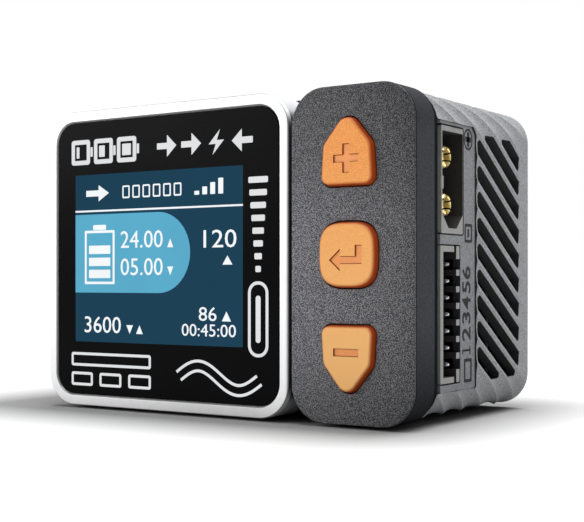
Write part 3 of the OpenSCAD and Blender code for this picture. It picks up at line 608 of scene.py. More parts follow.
# Painted shade: near black inside the connector mouths, the header slots and the slits of the bullet pins
PORT_SHADE = surface("port_inside_painted_shade", (24, 23, 22), 0.7, grain=0.8, variation=0.15, bump=0.01)
GOLD = surface("gold", (246, 222, 150), 0.3, metallic=0.7, grain=2.0, variation=0.06, bump=0.001)
INK = surface("panel_ink", (14, 14, 16), 0.8, grain=0.3, variation=0.15, bump=0.004)
# White print made to glow: painted light
GLOWING_PRINT = glow("printed_white_glowing", (236, 238, 240), 0.9)
SCREEN_BLUE = glow("screen_blue", (31, 65, 86))
SCREEN_PILL = glow("screen_light_blue", (92, 172, 203))
SCREEN_WHITE = glow("screen_white", (246, 250, 252))
BLACK_PLASTIC = surface("black_plastic", (24, 24, 26), 0.5, grain=0.8, variation=0.15, bump=0.012)
FRAME_BLACK = surface("frame_black", (12, 12, 14), 0.8, grain=0.8, variation=0.15, bump=0.01, specular=0.05)
RUBBER = surface("foot_rubber", (22, 22, 22), 0.85, grain=0.5, variation=0.2)
DARK_SCREW = surface("dark_screw", (62, 62, 66), 0.35, metallic=0.85, grain=0.5, variation=0.1, bump=0.004)
BOARD = surface("circuit_board", (18, 84, 50), 0.4, variation=0.2, bump=0.01)
ALUMINIUM = surface(
    "heatsink_dark", (44, 44, 46), 0.5, metallic=0.6, variation=0.1, bump=0.008, stretch=(1, 1, 6))
PLATED = surface("plated_metal", (196, 198, 200), 0.28, metallic=0.9, grain=0.8, variation=0.05, bump=0.003)
FILM = surface("insulation_film", (206, 204, 176), 0.35, grain=3.0, variation=0.06, bump=0.01)
PAD = surface("thermal_silicone", (140, 176, 200), 0.8, grain=0.5, variation=0.1)
FERRITE = surface("ferrite", (44, 44, 47), 0.75, grain=0.4, variation=0.2)
TAPE = surface("yellow_tape", (216, 184, 60), 0.45, grain=1.5, variation=0.06, bump=0.012)
SLEEVE = surface("capacitor_sleeve", (30, 40, 70), 0.35, grain=2.0, variation=0.08, bump=0.004)
COPPER = surface("copper_wire", (190, 102, 56), 0.3, metallic=0.85, grain=0.4)
CERAMIC = surface("white_ceramic", (226, 224, 216), 0.3, grain=1.2, variation=0.04, bump=0.006)
CABLE = surface("cable_grey", (128, 128, 130), 0.55, grain=0.6, variation=0.08)
BRONZE = surface("bearing_bronze", (150, 110, 60), 0.35, metallic=0.85, grain=0.4, variation=0.1, bump=0.01)
LIGHT_GUIDE = surface("light_guide", (232, 234, 236), 0.3, grain=2.0, variation=0.03, bump=0.004)
LCD_GLASS = surface("lcd_glass", (24, 44, 58), 0.15, grain=3.0, variation=0.05, bump=0.002)

# Kept CAD nodes by material
CARRIED_OVER = (
    (BLACK_PLASTIC, "back_panel plunger_plus plunger_enter plunger_minus switch_bodies "
                    "power_transistors buzzer mains_inlet usb_tongue fan_frame fan_stator fan_rotor"),
    (FRAME_BLACK, "mid_frame"),
    (RUBBER, "rubber_feet"),
    (DARK_SCREW, "case_screws module_screws heatsink_screws pcb_screws fan_screws"),
    (HOUSING_LIGHT, "display_housing"),
    (LCD_GLASS, "lcd_panel"),
    (LIGHT_GUIDE, "lcd_backlight"),
    (BOARD, "display_pcb keypad_pcb output_pcb main_pcb"),
    (ALUMINIUM, "heatsink"),
    (PAD, "thermal_pad"),
    (FILM, "insulation_sheet"),
    (FERRITE, "transformer_core power_inductor"),
    (TAPE, "transformer_winding dc_input_housing"),
    (SLEEVE, "bulk_capacitor filter_capacitors"),
    (COPPER, "line_choke"),
    (CERAMIC, "fuse"),
    (CABLE, "ribbon_cables"),
    (PLATED, "mains_pins usb_shell"),
    (GOLD, "dc_input_pins"),
    (BRONZE, "fan_bearing"),
)

# Kept nodes that show from outside, with the width of their softened edges in millimetres
SOFT_EDGES = {"back_panel": 0.15, "mid_frame": 0.15, "display_housing": 0.2, "rubber_feet": 0.2,
              "mains_inlet": 0.12, "dc_input_housing": 0.1, "usb_shell": 0.06, "fan_frame": 0.12,
              "case_screws": 0.08, "fan_screws": 0.06, "heatsink": 0.1}


def finish_carried_over():
    """Gives every kept CAD node its material and softens the edges of the outer ones."""
    for material, names in CARRIED_OVER:
        for name in names.split():
            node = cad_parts[name]
            node.data.materials.clear()
            node.data.materials.append(material)
            if name in SOFT_EDGES:
                weld = node.modifiers.new("weld", "WELD")
                weld.merge_threshold = 0.001 * MM
                bevel = node.modifiers.new("soft_edges", "BEVEL")
                bevel.width = SOFT_EDGES[name] * MM
                bevel.segments = 2
                bevel.limit_method = "ANGLE"
                bevel.angle_limit = math.radians(SOFTENED)
                weigh_normals(node)


# ---------- display module ----------

def build_display():
    square = rounded_box(RING_X, RING_Z, CORNER_R, 12)
    front, back = RING_Y
    Build(facing_front).profile(square, [
        (0, back), (0, front + 0.2), (0.03, front + 0.1), (0.1, front + 0.03), (0.2, front),
        (RING_W - 0.3, front), (RING_W - 0.24, front + 0.04), (RING_W, front + 0.42), (RING_W, back)],
        closed=True).make("ring_frame", SATIN_METAL, stands_for="display_ring")

    screen = rounded_rect(middle(LCD_X), middle(LCD_Z), SCREEN_W, SCREEN_H, 0.2, 3)
    glass = Build(facing_front).plate(rounded_box(GLASS_X, GLASS_Z, CORNER_R - RING_W - 0.05, 10),
                                      GLASS_Y[0], GLASS_Y[1], 0.08, 0.0, 2)
    piece = glass.make("front_glass", GLASS_BLACK, stands_for="cover_glass")
    carve(piece, Build(facing_front).prism(screen(0), GLASS_Y[0] - 1, GLASS_Y[1] + 1))
    Build(facing_front).plate(screen, GLASS_Y[0] + 0.02, GLASS_Y[1] - 0.1).make("screen_film", SCREEN_BLUE)


def screen_point(fx, fy):
    """A place on the lit area from its share of the width and of the height, from the top left."""
    return (middle(LCD_X) + (fx - 0.5) * SCREEN_W, middle(LCD_Z) + (0.5 - fy) * SCREEN_H)


def screen_box(fx0, fx1, fy0, fy1):
    (u0, v1), (u1, v0) = screen_point(fx0, fy0), screen_point(fx1, fy1)
    return (u0, u1), (v0, v1)


def build_screen_picture():
    front = GLASS_Y[0]
    pill_d = (front + 0.005, front + 0.025)
    d = (front - 0.01, front + 0.015)

    u, v = screen_box(0.0, 0.705, 0.2385, 0.7055)
    end_r = size(v) / 2
    points = [(u[0], v[0])] + arc(u[1] - end_r, middle(v), end_r, -90, 90, 24) + [(u[0], v[1])]
    Build(facing_front).prism(points, *pill_d).make("screen_pill", SCREEN_PILL)

    marks = Build(facing_front)
    marks.block(*screen_box(0.0, 1.0, 0.213, 0.2235), 0.02, 1, *d)

    # Battery with three bars
    marks.hoop(rounded_box(*screen_box(0.061, 0.251, 0.335, 0.655), 0.15, 2), 0.42, *d)
    marks.block(*screen_box(0.115, 0.197, 0.302, 0.332), 0.15, 2, *d)
    for top in (0.425, 0.497, 0.569):
        marks.block(*screen_box(0.088, 0.224, top, top + 0.05), 0.1, 2, *d)

    # Readings
    for body, *place in (
            ("24.00", 0.289, 0.545, 0.343, 0.443), ("05.00", 0.289, 0.545, 0.503, 0.603),
            ("120", 0.782, 0.965, 0.35, 0.45), ("3600", 0.06, 0.29, 0.848, 0.945),
            ("86", 0.755, 0.855, 0.782, 0.86), ("00:45:00", 0.657, 0.962, 0.878, 0.947)):
        marks.text(body, *screen_box(*place), *d)

    # Signs in place of units: a triangle pointing up or down
    for x, y, w, h in ((0.572, 0.443, 0.035, -0.05), (0.572, 0.553, 0.035, 0.05),
                       (0.325, 0.895, 0.04, 0.05), (0.385, 0.945, 0.04, -0.05),
                       (0.888, 0.545, 0.055, -0.05), (0.885, 0.86, 0.05, -0.055)):
        triangle = [screen_point(x, y), screen_point(x + w, y), screen_point(x + w / 2, y + h)]
        marks.prism(anticlockwise(triangle), *d)

    # Header: charge arrow, six cells and a level sign
    for i in range(6):
        cell = screen_box(0.30 + i * 0.062, 0.345 + i * 0.062, 0.075, 0.15)
        marks.hoop(rounded_box(*cell, 0.25, 3), 0.26, *d)
    arrow = [screen_point(x, y) for x, y in (
        (0.07, 0.095), (0.15, 0.095), (0.15, 0.065), (0.215, 0.113), (0.15, 0.161), (0.15, 0.131),
        (0.07, 0.131))]
    marks.prism(anticlockwise(arrow), *d)
    for i in range(4):
        step = screen_box(0.73 + i * 0.045, 0.757 + i * 0.045, 0.15 - 0.022 * (i + 1), 0.15)
        marks.block(*step, 0.05, 1, *d)
    marks.make("screen_marks", SCREEN_WHITE)


def build_bezel_marks():
    """Plain white printed symbols on the black glass, made to glow as painted light."""
    d = (GLASS_Y[0] - 0.02, GLASS_Y[0] + 0.02)
    marks = Build(facing_front)
    left, top = RING_X[0], RING_Z[1]

    def area(x0, x1, z0, z1):
        return (left + x0, left + x1), (top - z1, top - z0)

    # Top left: three charging cells of growing level
    for i in range(3):
        u, v = area(5.0 + 5.1 * i, 9.2 + 5.1 * i, 4.8, 9.0)
        marks.hoop(rounded_box(u, v, 0.5, 4), 0.75, *d)
        level = (u[0] + 1.15, u[0] + 1.15 + 0.63 * (i + 1))
        marks.block(level, (v[0] + 1.15, v[1] - 1.15), 0.1, 2, *d)
        marks.block((u[1] + 0.1, u[1] + 0.6), about(middle(v), 0.8), 0.1, 2, *d)

    # Top right: arrows towards and away from a bolt
    for i, sign in enumerate((1, 1, 0, -1)):
        u, v = area(23.8 + 5.0 * i, 27.8 + 5.0 * i, 4.9, 8.8)
        if sign == 0:
            x, z = middle(u), middle(v)
            marks.prism([(x + 0.7, v[1]), (u[0] + 0.5, z - 0.3), (x - 0.1, z - 0.3),
                         (x - 0.7, v[0]), (u[1] - 0.5, z + 0.3), (x + 0.1, z + 0.3)], *d)
            continue
        tip, tail = (u[1], u[0]) if sign > 0 else (u[0], u[1])
        neck = tip + (tail - tip) * 0.48
        marks.prism(anticlockwise([(tip, middle(v)), (neck, v[1] - 0.2), (neck, v[0] + 0.2)]), *d)
        marks.block(sorted((neck, tail)), about(middle(v), 0.5), 0.05, 1, *d)

    # Right: a socket with its contact, and growing bars
    u, v = area(41.9, 45.7, 28.6, 40.2)
    marks.hoop(rounded_box(u, v, 1.8, 8), 0.5, *d)
    marks.block(about(middle(u), 0.45), (v[0] + 2.2, v[1] - 2.2), 0.4, 4, *d)
    for i in range(8):
        width = 1.0 + 0.38 * i
        z = v[1] + 1.4 + 1.95 * i
        marks.block(about(middle(u), width / 2), (z, z + 0.95), 0.2, 3, *d)

    # Bottom left: direct current sign
    u, v = area(5.0, 22.5, 40.6, 46.2)
    marks.hoop(rounded_box(u, (v[1] - 2.3, v[1]), 0.4, 3), 0.45, *d)
    dash = (size(u) - 2 * 1.5) / 3
    for i in range(3):
        x = u[0] + (dash + 1.5) * i
        marks.hoop(rounded_box((x, x + dash), (v[0], v[0] + 2.3), 0.4, 3), 0.45, *d)

    # Bottom right: alternating current sign, a wave drawn as two lines
    u, v = area(28.3, 44.0, 41.0, 46.4)
    steps = 48
    rise = 1.75

    def wave_side(offset):
        points = []
        for i in range(steps + 1):
            a = 2 * math.pi * i / steps
            slope = rise * math.cos(a) * 2 * math.pi / size(u)
            n = math.hypot(slope, 1)
            points.append((u[0] + size(u) * i / steps - offset * slope / n,
                           middle(v) + rise * math.sin(a) + offset / n))
        return points

    for inner, outer in ((-1.0, -0.55), (0.55, 1.0)):
        marks.prism(wave_side(inner) + wave_side(outer)[::-1], *d)
    marks.make("bezel_marks", GLOWING_PRINT)


# ---------- control module ----------

BUTTON_W = 9.1
BUTTON_X = middle(span("button_plus")[0])
BUTTON_GAP = 0.2
CAP_ROUND = 1.4
TIP_ROUND = 1.9
CAP_DRAFT = 0.15
CAP_EDGE = 0.45
ENTER_W = 9.65
ENTER_POWER = 3.2
PLATE_D = 1.2
PLATE_EDGE = 0.4
PLATE_STEP = 0.5
SEAM = 0.15
SHOULDER_ROUND = 2.0
CAP_TAPER = 0.4
SIGN_W = 4.25
SIGN_BAR = 1.15
ENGRAVING_DEPTH = 0.3
ENGRAVING_GAP = 0.09


def pointed_cap(z, grow=0.0):
    """Five-sided button outline, narrower at its shoulder; z holds its base, shoulder and tip."""
    x = BUTTON_X
    up = 1 if z[2] > z[0] else -1
    base, shoulder = BUTTON_W / 2, BUTTON_W / 2 - CAP_TAPER
    corners = anticlockwise([(x - base, z[0]), (x + base, z[0]), (x + shoulder, z[1]),
                             (x, z[2] + 1.3 * up), (x - shoulder, z[1])])
    rounds = {z[0]: CAP_ROUND, z[1]: SHOULDER_ROUND}
    outline = round_polygon(corners, [rounds.get(c[1], TIP_ROUND) for c in corners], 8)
    return lambda inset=0.0: outline(inset - grow)


PLUS_Z = (MID_Z + 10, MID_Z + 16.1, MID_Z + 19.8)
MINUS_Z = (MID_Z - 10.2, MID_Z - 16, MID_Z - 19.9)


def cap_outlines(grow=0.0):
    enter = squircle(BUTTON_X, MID_Z, ENTER_W + 2 * grow, ENTER_POWER)
    return {"plus": pointed_cap(PLUS_Z, grow), "enter": enter, "minus": pointed_cap(MINUS_Z, grow)}


def build_control():
    outline = rounded_box(HOUSING_X, HOUSING_Z, CORNER_R, 12)
    front, back = HOUSING_Y
    edge_y = front + PLATE_EDGE
    plate_y = front + PLATE_D
    Build(facing_front).profile(outline, [
        (0.1, edge_y + SEAM), (0, edge_y + SEAM + 0.1), (0, back - 0.5), (0.15, back - 0.15), (0.5, back),
        (1.8, back), (1.8, plate_y + 0.05), (PLATE_STEP + 0.05, plate_y + 0.05),
        (PLATE_STEP + 0.05, edge_y + SEAM)], closed=True).make(
            "control_band", BAND_DARK, stands_for="control_housing")

    piece = Build(facing_front).profile(outline, [
        (0.22, front), (0.08, front + 0.05), (0.02, front + 0.13), (0, front + 0.25), (0, edge_y),
        (PLATE_STEP, edge_y), (PLATE_STEP, plate_y)]).make(
            "control_face", FACE_SPECKLED, stands_for="keypad_faceplate")
    holes = Build(facing_front)
    for shape in cap_outlines(BUTTON_GAP).values():
        holes.prism(shape(0), front - 1, plate_y + 1)
    carve(piece, holes)


def icon_outlines():
    """Engraved signs of the three buttons, each counted from a height on their middle line."""
    w, t = SIGN_W / 2, SIGN_BAR / 2
    signs = {
        "plus": (13.95, [(-w, -t), (-t, -t), (-t, -w), (t, -w), (t, -t), (w, -t),
                         (w, t), (t, t), (t, w), (-t, w), (-t, t), (-w, t)]),
        "enter": (-0.4, [(-2.85, -0.35), (-1.0, -2.0), (-1.0, -0.95), (2.65, -0.95), (2.65, 1.8),
                         (1.5, 1.8), (1.5, 0.2), (-1.0, 0.2), (-1.0, 1.3)]),
        "minus": (-14.15, [(-w, -t), (w, -t), (w, t), (-w, t)]),
    }
    return {name: [(BUTTON_X + a, MID_Z + z + b) for a, b in points] for name, (z, points) in signs.items()}


def build_buttons():
    icons = icon_outlines()
    for name, outline in cap_outlines().items():
        node = "button_" + name
        front, back = span(node)[1]
        profile = [(CAP_DRAFT + CAP_EDGE * (1 - math.sin(a)), front + CAP_EDGE * (1 - math.cos(a)))
                   for a in quarter(4)]
        profile += [(0, RING_Y[0] + 0.1), (0, back)]
        piece = Build(facing_front).profile(outline, profile).make(
            "cap_" + name, ORANGE, body=name + "_key", stands_for=node)
        icon = polygon(anticlockwise(icons[name]))
        floor = front + ENGRAVING_DEPTH
        # The walls of the engraved sign are painted shade
        carve(piece, Build(facing_front).prism(icon(0), front - 1, floor), walls=ORANGE_ENGRAVING_SHADE)
        Build(facing_front).prism(icon(ENGRAVING_GAP), floor - 0.06, floor + 0.1).make(
            "engraving_" + name, ORANGE_FLOOR, body=name + "_key")


# ---------- shell ----------

def section(s, inset):
    """Point and outward direction at distance s round the shell's section, moved in by inset."""
    s %= GIRTH
    half_x, half_z = size(SHELL_X) / 2, size(SHELL_Z) / 2
    r = SHELL_R
    runs = [(SIDE_RUN, 0), (TOP_RUN, 90), (SIDE_RUN, 180), (TOP_RUN, 270)]
    cx, cz = half_x - r, half_z - r
    starts = [(half_x, -cz), (cx, half_z), (-half_x, cz), (-cx, -half_z)]
    centres = [(cx, cz), (-cx, cz), (-cx, -cz), (cx, -cz)]
    for (run, angle), start, centre in zip(runs, starts, centres):
        a = math.radians(angle)
        if s <= run:
            x, z = start[0] - math.sin(a) * s, start[1] + math.cos(a) * s
            break
        s -= run
        if s <= CORNER_RUN:
            a += s / r
            x, z = centre[0] + r * math.cos(a), centre[1] + r * math.sin(a)
            break
        s -= CORNER_RUN
    return (middle(SHELL_X) + x - inset * math.cos(a), MID_Z + z - inset * math.sin(a))


def relief(s):
    """Share of the ridge depth: less on the flat sides, full from the corners over top and bottom."""
    s %= GIRTH
    second = SIDE_RUN + 2 * CORNER_RUN + TOP_RUN
    gaps = [max(0, s - SIDE_RUN), max(0, abs(s - second - SIDE_RUN / 2) - SIDE_RUN / 2), GIRTH - s]
    t = min(1, min(gaps) / RELIEF_RUN)
    return SIDE_RELIEF + (1 - SIDE_RELIEF) * t * t * (3 - 2 * t)


def shell_ring(y, inset, ridge=0.0):
    """One ring of the shell; its points slide round the section so that they follow the ridges."""
    points = []
    for j in range(RIDGES * STEPS_PER_RIDGE):
        t = j % STEPS_PER_RIDGE / STEPS_PER_RIDGE
        s = PHASE + PITCH / 2 + PITCH * j / STEPS_PER_RIDGE - RIDGE_SLOPE * y
        points.append(section(s, inset + ridge * relief(s) * 4 * t * (1 - t)))
    return points, y


def vent_outlines(left):
    """Slots of one side, each with its acute corners rounded."""
    top = SIDE_HIGH + SIDE_RUN + 2 * CORNER_RUN + TOP_RUN if left else SIDE_LOW
    turn = 1 if left else -1
    h = VENT_OPEN / 2
    outlines = []
    for k in range(16, 31) if left else range(-3, 10):
        low, high = (top - turn * PHASE - k * PITCH + turn * RIDGE_SLOPE * y for y in VENT_Y)
        corners = [(VENT_Y[0], low - h), (VENT_Y[1], high - h), (VENT_Y[1], high + h), (VENT_Y[0], low + h)]
        corners = clip(clip(corners, 1, VENT_Z[1], True), 1, VENT_Z[0], False)
        if len(corners) < 3:
            continue
        depth, height = (max(c[i] for c in corners) - min(c[i] for c in corners) for i in (0, 1))
        if depth < VENT_LEAST[0] or height < VENT_LEAST[1]:
            continue
        corners = [c for c, n in zip(corners, corners[1:] + corners[:1]) if math.dist(c, n) > 0.3]
        radii = []
        for i, c in enumerate(corners):
            a, b = (Vector(corners[j % len(corners)]) - Vector(c) for j in (i - 1, i + 1))
            opening = a.angle(b)
            reach = min(a.length, b.length) * 0.42 * math.tan(opening / 2)
            radii.append(min(0.9 if opening < math.radians(80) else 0.35, reach))
        outlines.append(round_polygon(corners, radii, 4))
    return outlines


def build_shell():
    front, back = SHELL_Y
    rings = []
    rows = 26
    flat_end = back - REAR_ROUND
    for i in range(rows + 1):
        y = front + (flat_end - front) * i / rows
        fade = min(1, max(0, (flat_end - y) / RIDGE_FADE))
        rings.append(shell_ring(y, 0, RIDGE_DEPTH * fade * fade * (3 - 2 * fade)))
    for a in quarter(5)[1:]:
        rings.append(shell_ring(flat_end + REAR_ROUND * math.sin(a), REAR_ROUND * (1 - math.cos(a))))
    seat_y = back - SEAT_D
    for y, inset in ((back, SHELL_WALL), (seat_y, SHELL_WALL), (seat_y, SHELL_WALL + LEDGE_W),
                     (seat_y - LEDGE_D, SHELL_WALL + LEDGE_W), (seat_y - LEDGE_D, SHELL_WALL)):
        rings.append(shell_ring(y, inset))
    inner_rows = 12
    for i in range(1, inner_rows + 1):
        rings.append(shell_ring(seat_y - LEDGE_D + (front - seat_y + LEDGE_D) * i / inner_rows, SHELL_WALL))
    shell = Build(facing_front).rings(rings, closed=True).make(
        "ridged_shell", SHELL_GREY, stands_for="main_shell", sharp=SHELL_SHARP)

    openings = Build(facing_right)
    inner_x = SHELL_X[1] - SHELL_WALL
    for outline in vent_outlines(False):
        openings.prism(outline(0), inner_x - 1, SHELL_X[1] + 1)
    for outline in vent_outlines(True):
        openings.prism(outline(0), SHELL_X[0] - 1, -inner_x + 1)
    # The walls of the vents and of the recess are painted shade
    carve(shell, openings, SHELL_SHARP, VENT_SHADE)
    window = window_outline(WINDOW_Y[0] - 2)
    hole = Build(facing_right).prism(window(0), inner_x - 1, SHELL_X[1] + 1)
    carve(shell, hole, SHELL_SHARP, VENT_SHADE)

    foot_x, foot_y, foot_z = span("rubber_feet")
    seats = Build(facing_down)
    for x in (foot_x[0] + FOOT_R, foot_x[1] - FOOT_R):
        for y in (foot_y[0] + FOOT_R, foot_y[1] - FOOT_R):
            seats.prism(circle(x, y, FOOT_R + 0.05)(0), 0, foot_z[1])
    carve(shell, seats, SHELL_SHARP)


def window_outline(front):
    """Outline of the recess for the connectors, from a place along Y to its rear edge."""
    c, y, z = WINDOW_CHAMFER, WINDOW_Y, WINDOW_Z
    corners = [(front, z[0]), (y[1], z[0]), (y[1], z[1] - c), (y[1] - c, z[1]), (front, z[1])]
    return round_polygon(corners, [0.1, 0.4, 0.45, 0.45, 0.1], 4)


# ---------- connectors ----------

PORT_DEPTH = 8.0
PORT_WALL = 0.8
# The rim that shows is narrower than the CAD housing, and its mouth reaches a little further forward
RIM_Y = (PORT_Y[0] + 0.65, PORT_Y[1] - 0.25)
MOUTH_HALF = size(PORT_Y) / 2 - PORT_WALL
MOUTH_Y = (middle(BULLET_Y) - MOUTH_HALF - 0.3, middle(BULLET_Y) + MOUTH_HALF)
PANEL_START = 1.4
PORT_CHAMFER = 2.08
HEADER_DEPTH = 8.5
HEADER_WALL = 0.9
HEADER_BACK_WALL = 1.2
HEADER_PINS = 7
PIN_PITCH = 2.5
BULLET_R = 1.75
GAP = 0.2


def build_panel():
    y = (SHELL_Y[0] + PANEL_START, WINDOW_Y[1])
    inner_x = SHELL_X[1] - SHELL_WALL
    panel = Build(facing_right).plate(window_outline(y[0]), inner_x + 0.1, PANEL_FACE_X, 0.0, 0.08, 2).make(
        "connector_panel", PANEL_GREY)
    x = (inner_x - 1, PANEL_FACE_X + 1)
    holes = Build(facing_right)
    holes.prism(rounded_box((y[0] - 1, RIM_Y[1]), PORT_Z, 0.2, 3)(-GAP), *x)
    holes.prism(rounded_box(HEADER_Y, HEADER_Z, 0.2, 3)(-GAP), *x)
    # The walls of the holes round the connectors are painted shade
    carve(panel, holes, walls=VENT_SHADE)


def build_output_port():
    back, front = PORT_X
    rim = Build(facing_right).plate(rounded_box(RIM_Y, PORT_Z, 0.2, 3), back, front, 0.0, 0.1, 2).make(
        "port_rim", PORT_GREY, stands_for="output_housing")

    # The mouth is square at the top and chamfered at the bottom
    cy, cz = middle(MOUTH_Y), middle(PORT_Z)
    w = size(MOUTH_Y) / 2
    l = size(PORT_Z) / 2 - PORT_WALL
    c = PORT_CHAMFER
    mouth = round_polygon([(cy - w + c, cz - l), (cy + w - c, cz - l), (cy + w, cz - l + c), (cy + w, cz + l),
                           (cy - w, cz + l), (cy - w, cz - l + c)], [0.2] * 6, 3)
    # The inside of the mouth is painted shade
    carve(rim, Build(facing_right).prism(mouth(0), front - PORT_DEPTH, front + 1), walls=PORT_SHADE)

    key = rounded_box((cy - w - 0.3, cy - w + 0.7), (cz - 1.4, cz + 0.5), 0.1, 2)
    Build(facing_right).plate(key, front - 6, front - 0.1, 0.0, 0.1, 2).make("port_key", PORT_GREY)


def build_bullets():
    back, front = BULLET_X
    cy = middle(BULLET_Y)
    heights = (BULLET_Z[0] + BULLET_R, BULLET_Z[1] - BULLET_R)
    pins = Build(facing_right)
    for z in heights:
        pins.profile(circle(cy, z, BULLET_R, 32), [
            (0.55, back), (0.55, back + 2.5), (0, back + 2.6), (0, front - 0.7), (0.12, front - 0.3),
            (0.3, front - 0.06), (0.45, front), (0.62, front - 0.08), (0.72, front - 0.4), (0.72, front - 4)])
    piece = pins.make("bullet_pins", GOLD, stands_for="output_pins")
    # The walls of the slits are painted shade
    for number, angle in enumerate((30, 90, 150)):
        slots = Build(facing_right)
        along = Vector((math.cos(math.radians(angle)), math.sin(math.radians(angle))))
        across = Vector((-along.y, along.x))
        for z in heights:
            centre = Vector((cy, z))
            corners = [centre + along * a * 2.2 + across * b * 0.15
                       for a, b in ((-1, -1), (1, -1), (1, 1), (-1, 1))]
            slots.prism([tuple(c) for c in corners], front - 4.5 + 0.1 * number, front + 1)
        carve(piece, slots, walls=PORT_SHADE)


def build_header():
    back, front = HEADER_X
    y, z = HEADER_Y, HEADER_Z
    inner_y = (y[0] + HEADER_WALL, y[1] - HEADER_BACK_WALL)
    inner_z = (z[0] + HEADER_WALL, z[1] - HEADER_WALL)
    pin_heights = [middle(z) + (i - (HEADER_PINS - 1) / 2) * PIN_PITCH for i in range(HEADER_PINS)]
    piece = Build(facing_right).plate(rounded_box(y, z, 0.15, 3), back, front, 0.0, 0.08, 2).make(
        "header_shroud", PORT_GREY, stands_for="balance_header")
    mouth = rounded_box(inner_y, inner_z, 0.1, 2)
    # The inside of the header is painted shade
    carve(piece, Build(facing_right).prism(mouth(0), front - HEADER_DEPTH, front + 1), walls=PORT_SHADE)

    # Slots through the rear wall behind the pins; the two end walls stop short of it
    slots = Build(facing_right)
    for pin_z in pin_heights:
        slot = rounded_box((inner_y[1] - 0.4, y[1] + 1), about(pin_z, 0.8), 0.1, 2)
        slots.prism(slot(0), front - 2.5, front + 1)
    carve(piece, slots, walls=PORT_SHADE)
    gaps = Build(facing_right)
    for end in z:
        gap = rounded_box((inner_y[1] - 0.7, inner_y[1] + 0.02), about(end, 1.2), 0.05, 1)
        gaps.prism(gap(0), front - 2.4, front + 1)
    carve(piece, gaps, walls=PORT_SHADE)

    pins = Build(facing_right)
    half = size(PIN_Y) / 2
    for pin_z in pin_heights:
        pin = rounded_box(about(middle(PIN_Y), half), about(pin_z, half), 0.06, 2)
        pins.profile(pin, [(0, PIN_X[0]), (0, PIN_X[1] - 0.5), (0.06, PIN_X[1] - 0.3), (0.16, PIN_X[1])])
    pins.make("header_pins", PLATED, stands_for="balance_pins")


def build_panel_marks():
    """Polarity signs, the cell numbers and a cell sign, printed down the panel behind the connectors."""
    d = (PANEL_FACE_X - 0.03, PANEL_FACE_X + 0.02)
    marks = Build(facing_right)

    def area(y0, y1, z0, z1):
        """Limits counted from the front face and from mid height."""
        return (RING_Y[0] + y0, RING_Y[0] + y1), (MID_Z + z0, MID_Z + z1)

    def bar(*limits, r=0.05):
        marks.block(*area(*limits), r, 1, *d)

    u, v = area(17.25, 20.25, 16.2, 19.5)
    marks.hoop(rounded_box(u, v, 1.48, 8), 0.34, *d)
    bar(17.75, 19.75, 17.45, 18.25)
    bar(18.35, 19.15, 16.75, 18.95)
    marks.hoop(rounded_box(*area(17.51, 20.15, 2.05, 4.95), 0.4, 4), 0.45, *d)
    bar(18.55, 19.1, 2.85, 4.15)

    # The figure 1 lies on its back like the other figures
    bar(16.75, 19.55, -14.55, -14.23)
    bar(19.25, 19.55, -15.1, -13.75)
    bar(16.75, 17.05, -14.95, -14.45)
    for figure, z0, z1 in (("6", -3.55, -1.55), ("5", -5.69, -3.81), ("4", -8.15, -6.19),
                           ("3", -10.35, -8.51), ("2", -12.95, -10.85)):
        marks.text(figure, *area(16.71, 19.58, z0, z1), *d, quarter_turn=True)
    marks.hoop(rounded_box(*area(17.3, 20.0, -19.3, -15.65), 0.3, 4), 0.5, *d)
    marks.make("panel_marks", INK)


# ---------- camera, light and floor, in metres ----------

# The camera looks level from a little above the table. Its place is counted from the front right corner.
CAMERA_TURN = math.radians(33.7)
CAMERA_AWAY = 0.1721
CAMERA_ASIDE = 0.01719
CAMERA_HEIGHT = 0.0216
CAMERA_LENS = 75.7
CAMERA_SHIFT = 0.0325

LIGHT_TARGET = (0, 0, 0.025)
WORLD_LIGHT = 0.3

FLOOR_REACH = 3.0
FLOOR_GREY = 0.24
# Painted shadow on the floor round the footprint, moved to the left, fading out between these distances
SHADOW_SHIFT = 0.007
SHADOW_FROM = 0.003
SHADOW_TO = 0.034


def build_camera():
    data = bpy.data.cameras.new("camera")
    data.lens = CAMERA_LENS
    data.sensor_width = 36
    data.shift_y = CAMERA_SHIFT
    data.clip_start = 0.005
    camera = new_object("camera", data)
    corner = Vector((cad_box[1].x, RING_Y[0] * MM, 0))
    along = Vector((-math.sin(CAMERA_TURN), math.cos(CAMERA_TURN), 0))
    across = Vector((math.cos(CAMERA_TURN), math.sin(CAMERA_TURN), 0))
    height = Vector((0, 0, CAMERA_HEIGHT))
    camera.location = corner - along * CAMERA_AWAY - across * CAMERA_ASIDE + height
    camera.rotation_euler = (math.radians(90), 0, CAMERA_TURN)
    bpy.context.scene.camera = camera


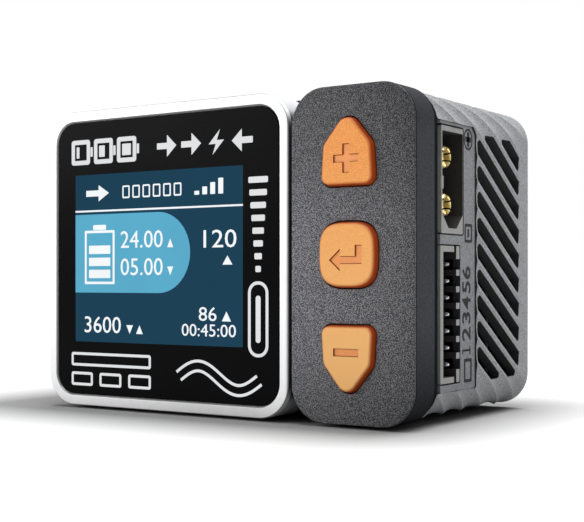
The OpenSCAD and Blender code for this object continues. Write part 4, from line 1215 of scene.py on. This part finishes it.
def build_lights():
    """Three soft area lights, a weak even light from all round, and white behind the object."""
    for name, place, wide, high, energy in (
            ("top_light", (0.05, 0.06, 0.45), 0.4, 0.4, 4.6),
            ("left_light", (-0.35, -0.35, 0.22), 0.3, 0.3, 1.5),
            ("right_light", (0.45, -0.05, 0.2), 0.25, 0.3, 0.1)):
        lamp = bpy.data.lights.new(name, "AREA")
        lamp.shape = "RECTANGLE"
        lamp.size = wide
        lamp.size_y = high
        lamp.energy = energy
        obj = new_object(name, lamp)
        obj.location = place
        towards = Vector(LIGHT_TARGET) - Vector(place)
        obj.rotation_euler = towards.to_track_quat("-Z", "Y").to_euler()

    world = bpy.data.worlds.new("studio")
    bpy.context.scene.world = world
    world.use_nodes = True
    tree = world.node_tree
    light = tree.nodes["Background"]
    feed(tree, light, {"Color": WHITE, "Strength": WORLD_LIGHT})
    white = add(tree, "Background", {"Color": WHITE})
    path = add(tree, "LightPath")
    mix = add(tree, "MixShader", {"Fac": path.outputs["Is Camera Ray"], 1: light.outputs["Background"],
                                  2: white.outputs["Background"]})
    feed(tree, tree.nodes["World Output"], {"Surface": mix.outputs["Shader"]})


def build_floor():
    """A pale floor with a painted shadow round the object's footprint, glowing up to white away from it."""
    reach = FLOOR_REACH
    corners = [(-reach, -reach, 0), (reach, -reach, 0), (reach, reach, 0), (-reach, reach, 0)]
    mesh = bpy.data.meshes.new("floor")
    mesh.from_pydata(corners, [], [(0, 1, 2, 3)])
    floor = new_object("floor", mesh)

    material, tree, shader = new_material("floor_painted_shadow")
    low, high = cad_box
    centre, half = (low + high) / 2, (high - low) / 2
    source = add(tree, "TexCoord").outputs["Object"]
    for operation, value in (("SUBTRACT", (centre.x - SHADOW_SHIFT, centre.y, 0)), ("ABSOLUTE", (0, 0, 0)),
                             ("SUBTRACT", (half.x, half.y, 1)), ("MAXIMUM", (0, 0, 0))):
        source = add(tree, "VectorMath", {0: source, 1: value}, operation=operation).outputs["Vector"]
    distance = add(tree, "VectorMath", {0: source}, operation="LENGTH").outputs["Value"]
    # The glow is weaker near the footprint, a painted shadow
    fade = add(tree, "MapRange", {"Value": distance, "From Min": SHADOW_FROM, "From Max": SHADOW_TO})
    feed(tree, shader, {"Base Color": (FLOOR_GREY, FLOOR_GREY, FLOOR_GREY, 1), "Roughness": 0.9,
                        "Specular IOR Level": 0.0, "Emission Color": WHITE,
                        "Emission Strength": fade.outputs["Result"]})
    mesh.materials.append(material)


finish_carried_over()
build_display()
build_screen_picture()
build_bezel_marks()
build_control()
build_buttons()
build_shell()
build_panel()
build_output_port()
build_bullets()
build_header()
build_panel_marks()
bpy.context.scene.view_settings.view_transform = "Standard"
build_camera()
build_lights()
build_floor()
